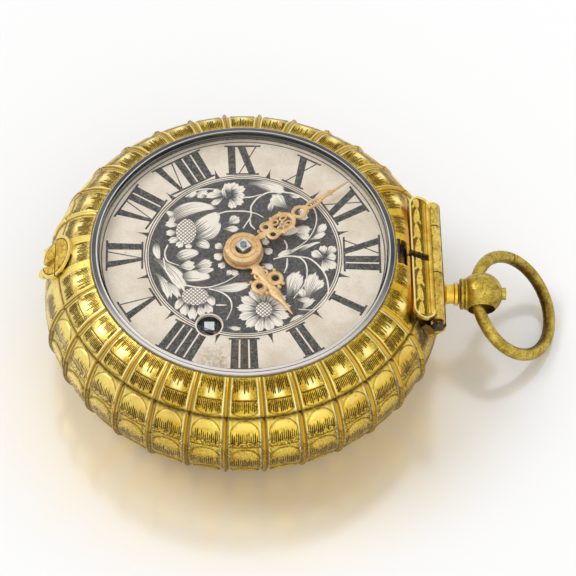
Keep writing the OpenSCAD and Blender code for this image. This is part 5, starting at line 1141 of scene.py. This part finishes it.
collar = {"at": (34.4, 0, 10.3), "profile": [(0.7, -3.08), (2.1, -3.08), (2.28, -2.94), (2.28, -2.68), (2.12, -2.5),
                                             (2.3, -2.34), (2.3, -2.1), (1.9, -1.9)]}


def makeCollar():  # turned collar where the ball meets its neck, turning with the ball
    maker = Maker()
    maker.turned(collar["profile"], collar["at"], (1, 0, 0), 64)
    softEdges(maker.piece("ballCollar", finishes["oldGilding"], "ball"), 40)


makeCollar()
makeHingePlate()
makeHingeBarrels()
makeHingeSeat()
makeRustyEnd()
dress(makeGlass(), "glass")
dress(makeClaspGilding(), "clasp_stud", "clasp_plate", "clasp_hook")
print("hinge, glass and movement finished")

# Camera, lamps and floor
shot = {
    "azimuth": -1.965, "elevation": 55.203, "roll": 1.244, "distance": 400, "side": -6.323, "lift": 4.624,
    "dialHeight": 20.3, "focal": 2822.445, "pixels": 576, "sensor": 36,
}
light = {
    "world": 0.7, "key": 0.3, "keyFrom": (-108, 50), "keySize": 28, "fill": 0.12, "fillFrom": (20, 35),
    "fillSize": 60, "thrown": (1, 0.88, 0.66, 1), "glow": (0.1, 0.06, 0.015, 1), "tableZ": -0.00002,
}
white, black = (1, 1, 1, 1), (0, 0, 0, 1)


def towards(azimuth, elevation):
    a, e = math.radians(azimuth), math.radians(elevation)
    return Vector((math.sin(a) * math.cos(e), -math.cos(a) * math.cos(e), math.sin(e)))


def stand(name, data):
    piece = bpy.data.objects.new(name, data)
    bpy.context.scene.collection.objects.link(piece)
    return piece


def placeCamera():
    a, roll = math.radians(shot["azimuth"]), math.radians(shot["roll"])
    back = towards(shot["azimuth"], shot["elevation"])
    right = Vector((math.cos(a), math.sin(a), 0))
    up = back.cross(right)
    along = right * math.cos(roll) + up * math.sin(roll)
    over = up * math.cos(roll) - right * math.sin(roll)
    spot = back * shot["distance"] - along * shot["side"] - over * shot["lift"] + Vector((0, 0, shot["dialHeight"]))
    data = bpy.data.cameras.new("camera")
    data.lens, data.sensor_width = shot["focal"] / shot["pixels"] * shot["sensor"], shot["sensor"]
    data.clip_start, data.clip_end = 0.02, 20
    camera = stand("camera", data)
    camera.matrix_world = Matrix.Translation(spot * mm) @ Matrix((along, over, back)).transposed().to_4x4()
    bpy.context.scene.camera = camera


def lamp(key):
    data = bpy.data.lights.new(key + "Light", "SUN")
    data.energy, data.angle = light[key] * math.pi, math.radians(light[key + "Size"])
    stand(key + "Light", data).rotation_euler = towards(*light[key + "From"]).to_track_quat("Z", "Y").to_euler()


def whiteWorld():
    world = bpy.data.worlds.new("studio")
    bpy.context.scene.world = world
    world.use_nodes = True
    tree = world.node_tree
    tree.nodes.clear()
    path = tree.nodes.new("ShaderNodeLightPath")
    backdrop = tree.nodes.new("ShaderNodeBackground")
    seen, *others = (Wire(tree, path.outputs[f"Is {ray} Ray"]) for ray in ("Camera", "Glossy", "Transmission"))
    for ray in others:
        seen = seen.larger(ray)
    connect(tree, backdrop.inputs["Strength"], light["world"] + seen * (1 - light["world"]))
    connect(tree, backdrop.inputs["Color"], white)
    out = tree.nodes.new("ShaderNodeOutputWorld")
    tree.links.new(backdrop.outputs[0], out.inputs[0])


def whiteFloor(reach=1.6):
    paper = Finish("whiteTable", "silver", IOR=2.7, Emission_Strength=1.0)
    x, y, _ = paper.split()  # painted light: a warm tint and glow on the table before the gilding, standing for the light it throws
    radius = (x * x + y * y) ** 0.5
    rays = paper.vector("NORMALIZE", paper.place())
    streak = paper.node("TexNoise", {"Vector": rays, "Scale": 9.0, "Detail": 3.0})
    glow = radius.ramp(16, 27) * (1 - radius.ramp(29, 47)) ** 1.4 * (0 - y / radius).ramp(-0.5, 0.75)
    glow = glow * (0.55 + 0.9 * streak)
    paper.start(glow, white, light["thrown"])
    paper.done(Emission_Color=paper.blend(glow, black, light["glow"]), Roughness=0.1 + 0.14 * paper.noise(0.05, 2))
    mesh = bpy.data.meshes.new("table")
    corners = [(-reach, -reach, 0), (reach, -reach, 0), (reach, reach, 0), (-reach, reach, 0)]
    mesh.from_pydata(corners, [], [(0, 1, 2, 3)])
    mesh.materials.append(paper.material)
    table = stand("table", mesh)
    table.location.z = light["tableZ"]


placeCamera()
whiteWorld()
whiteFloor()
lamp("key")
lamp("fill")
bpy.context.scene.view_settings.view_transform = "Standard"
print("camera, light and table placed")
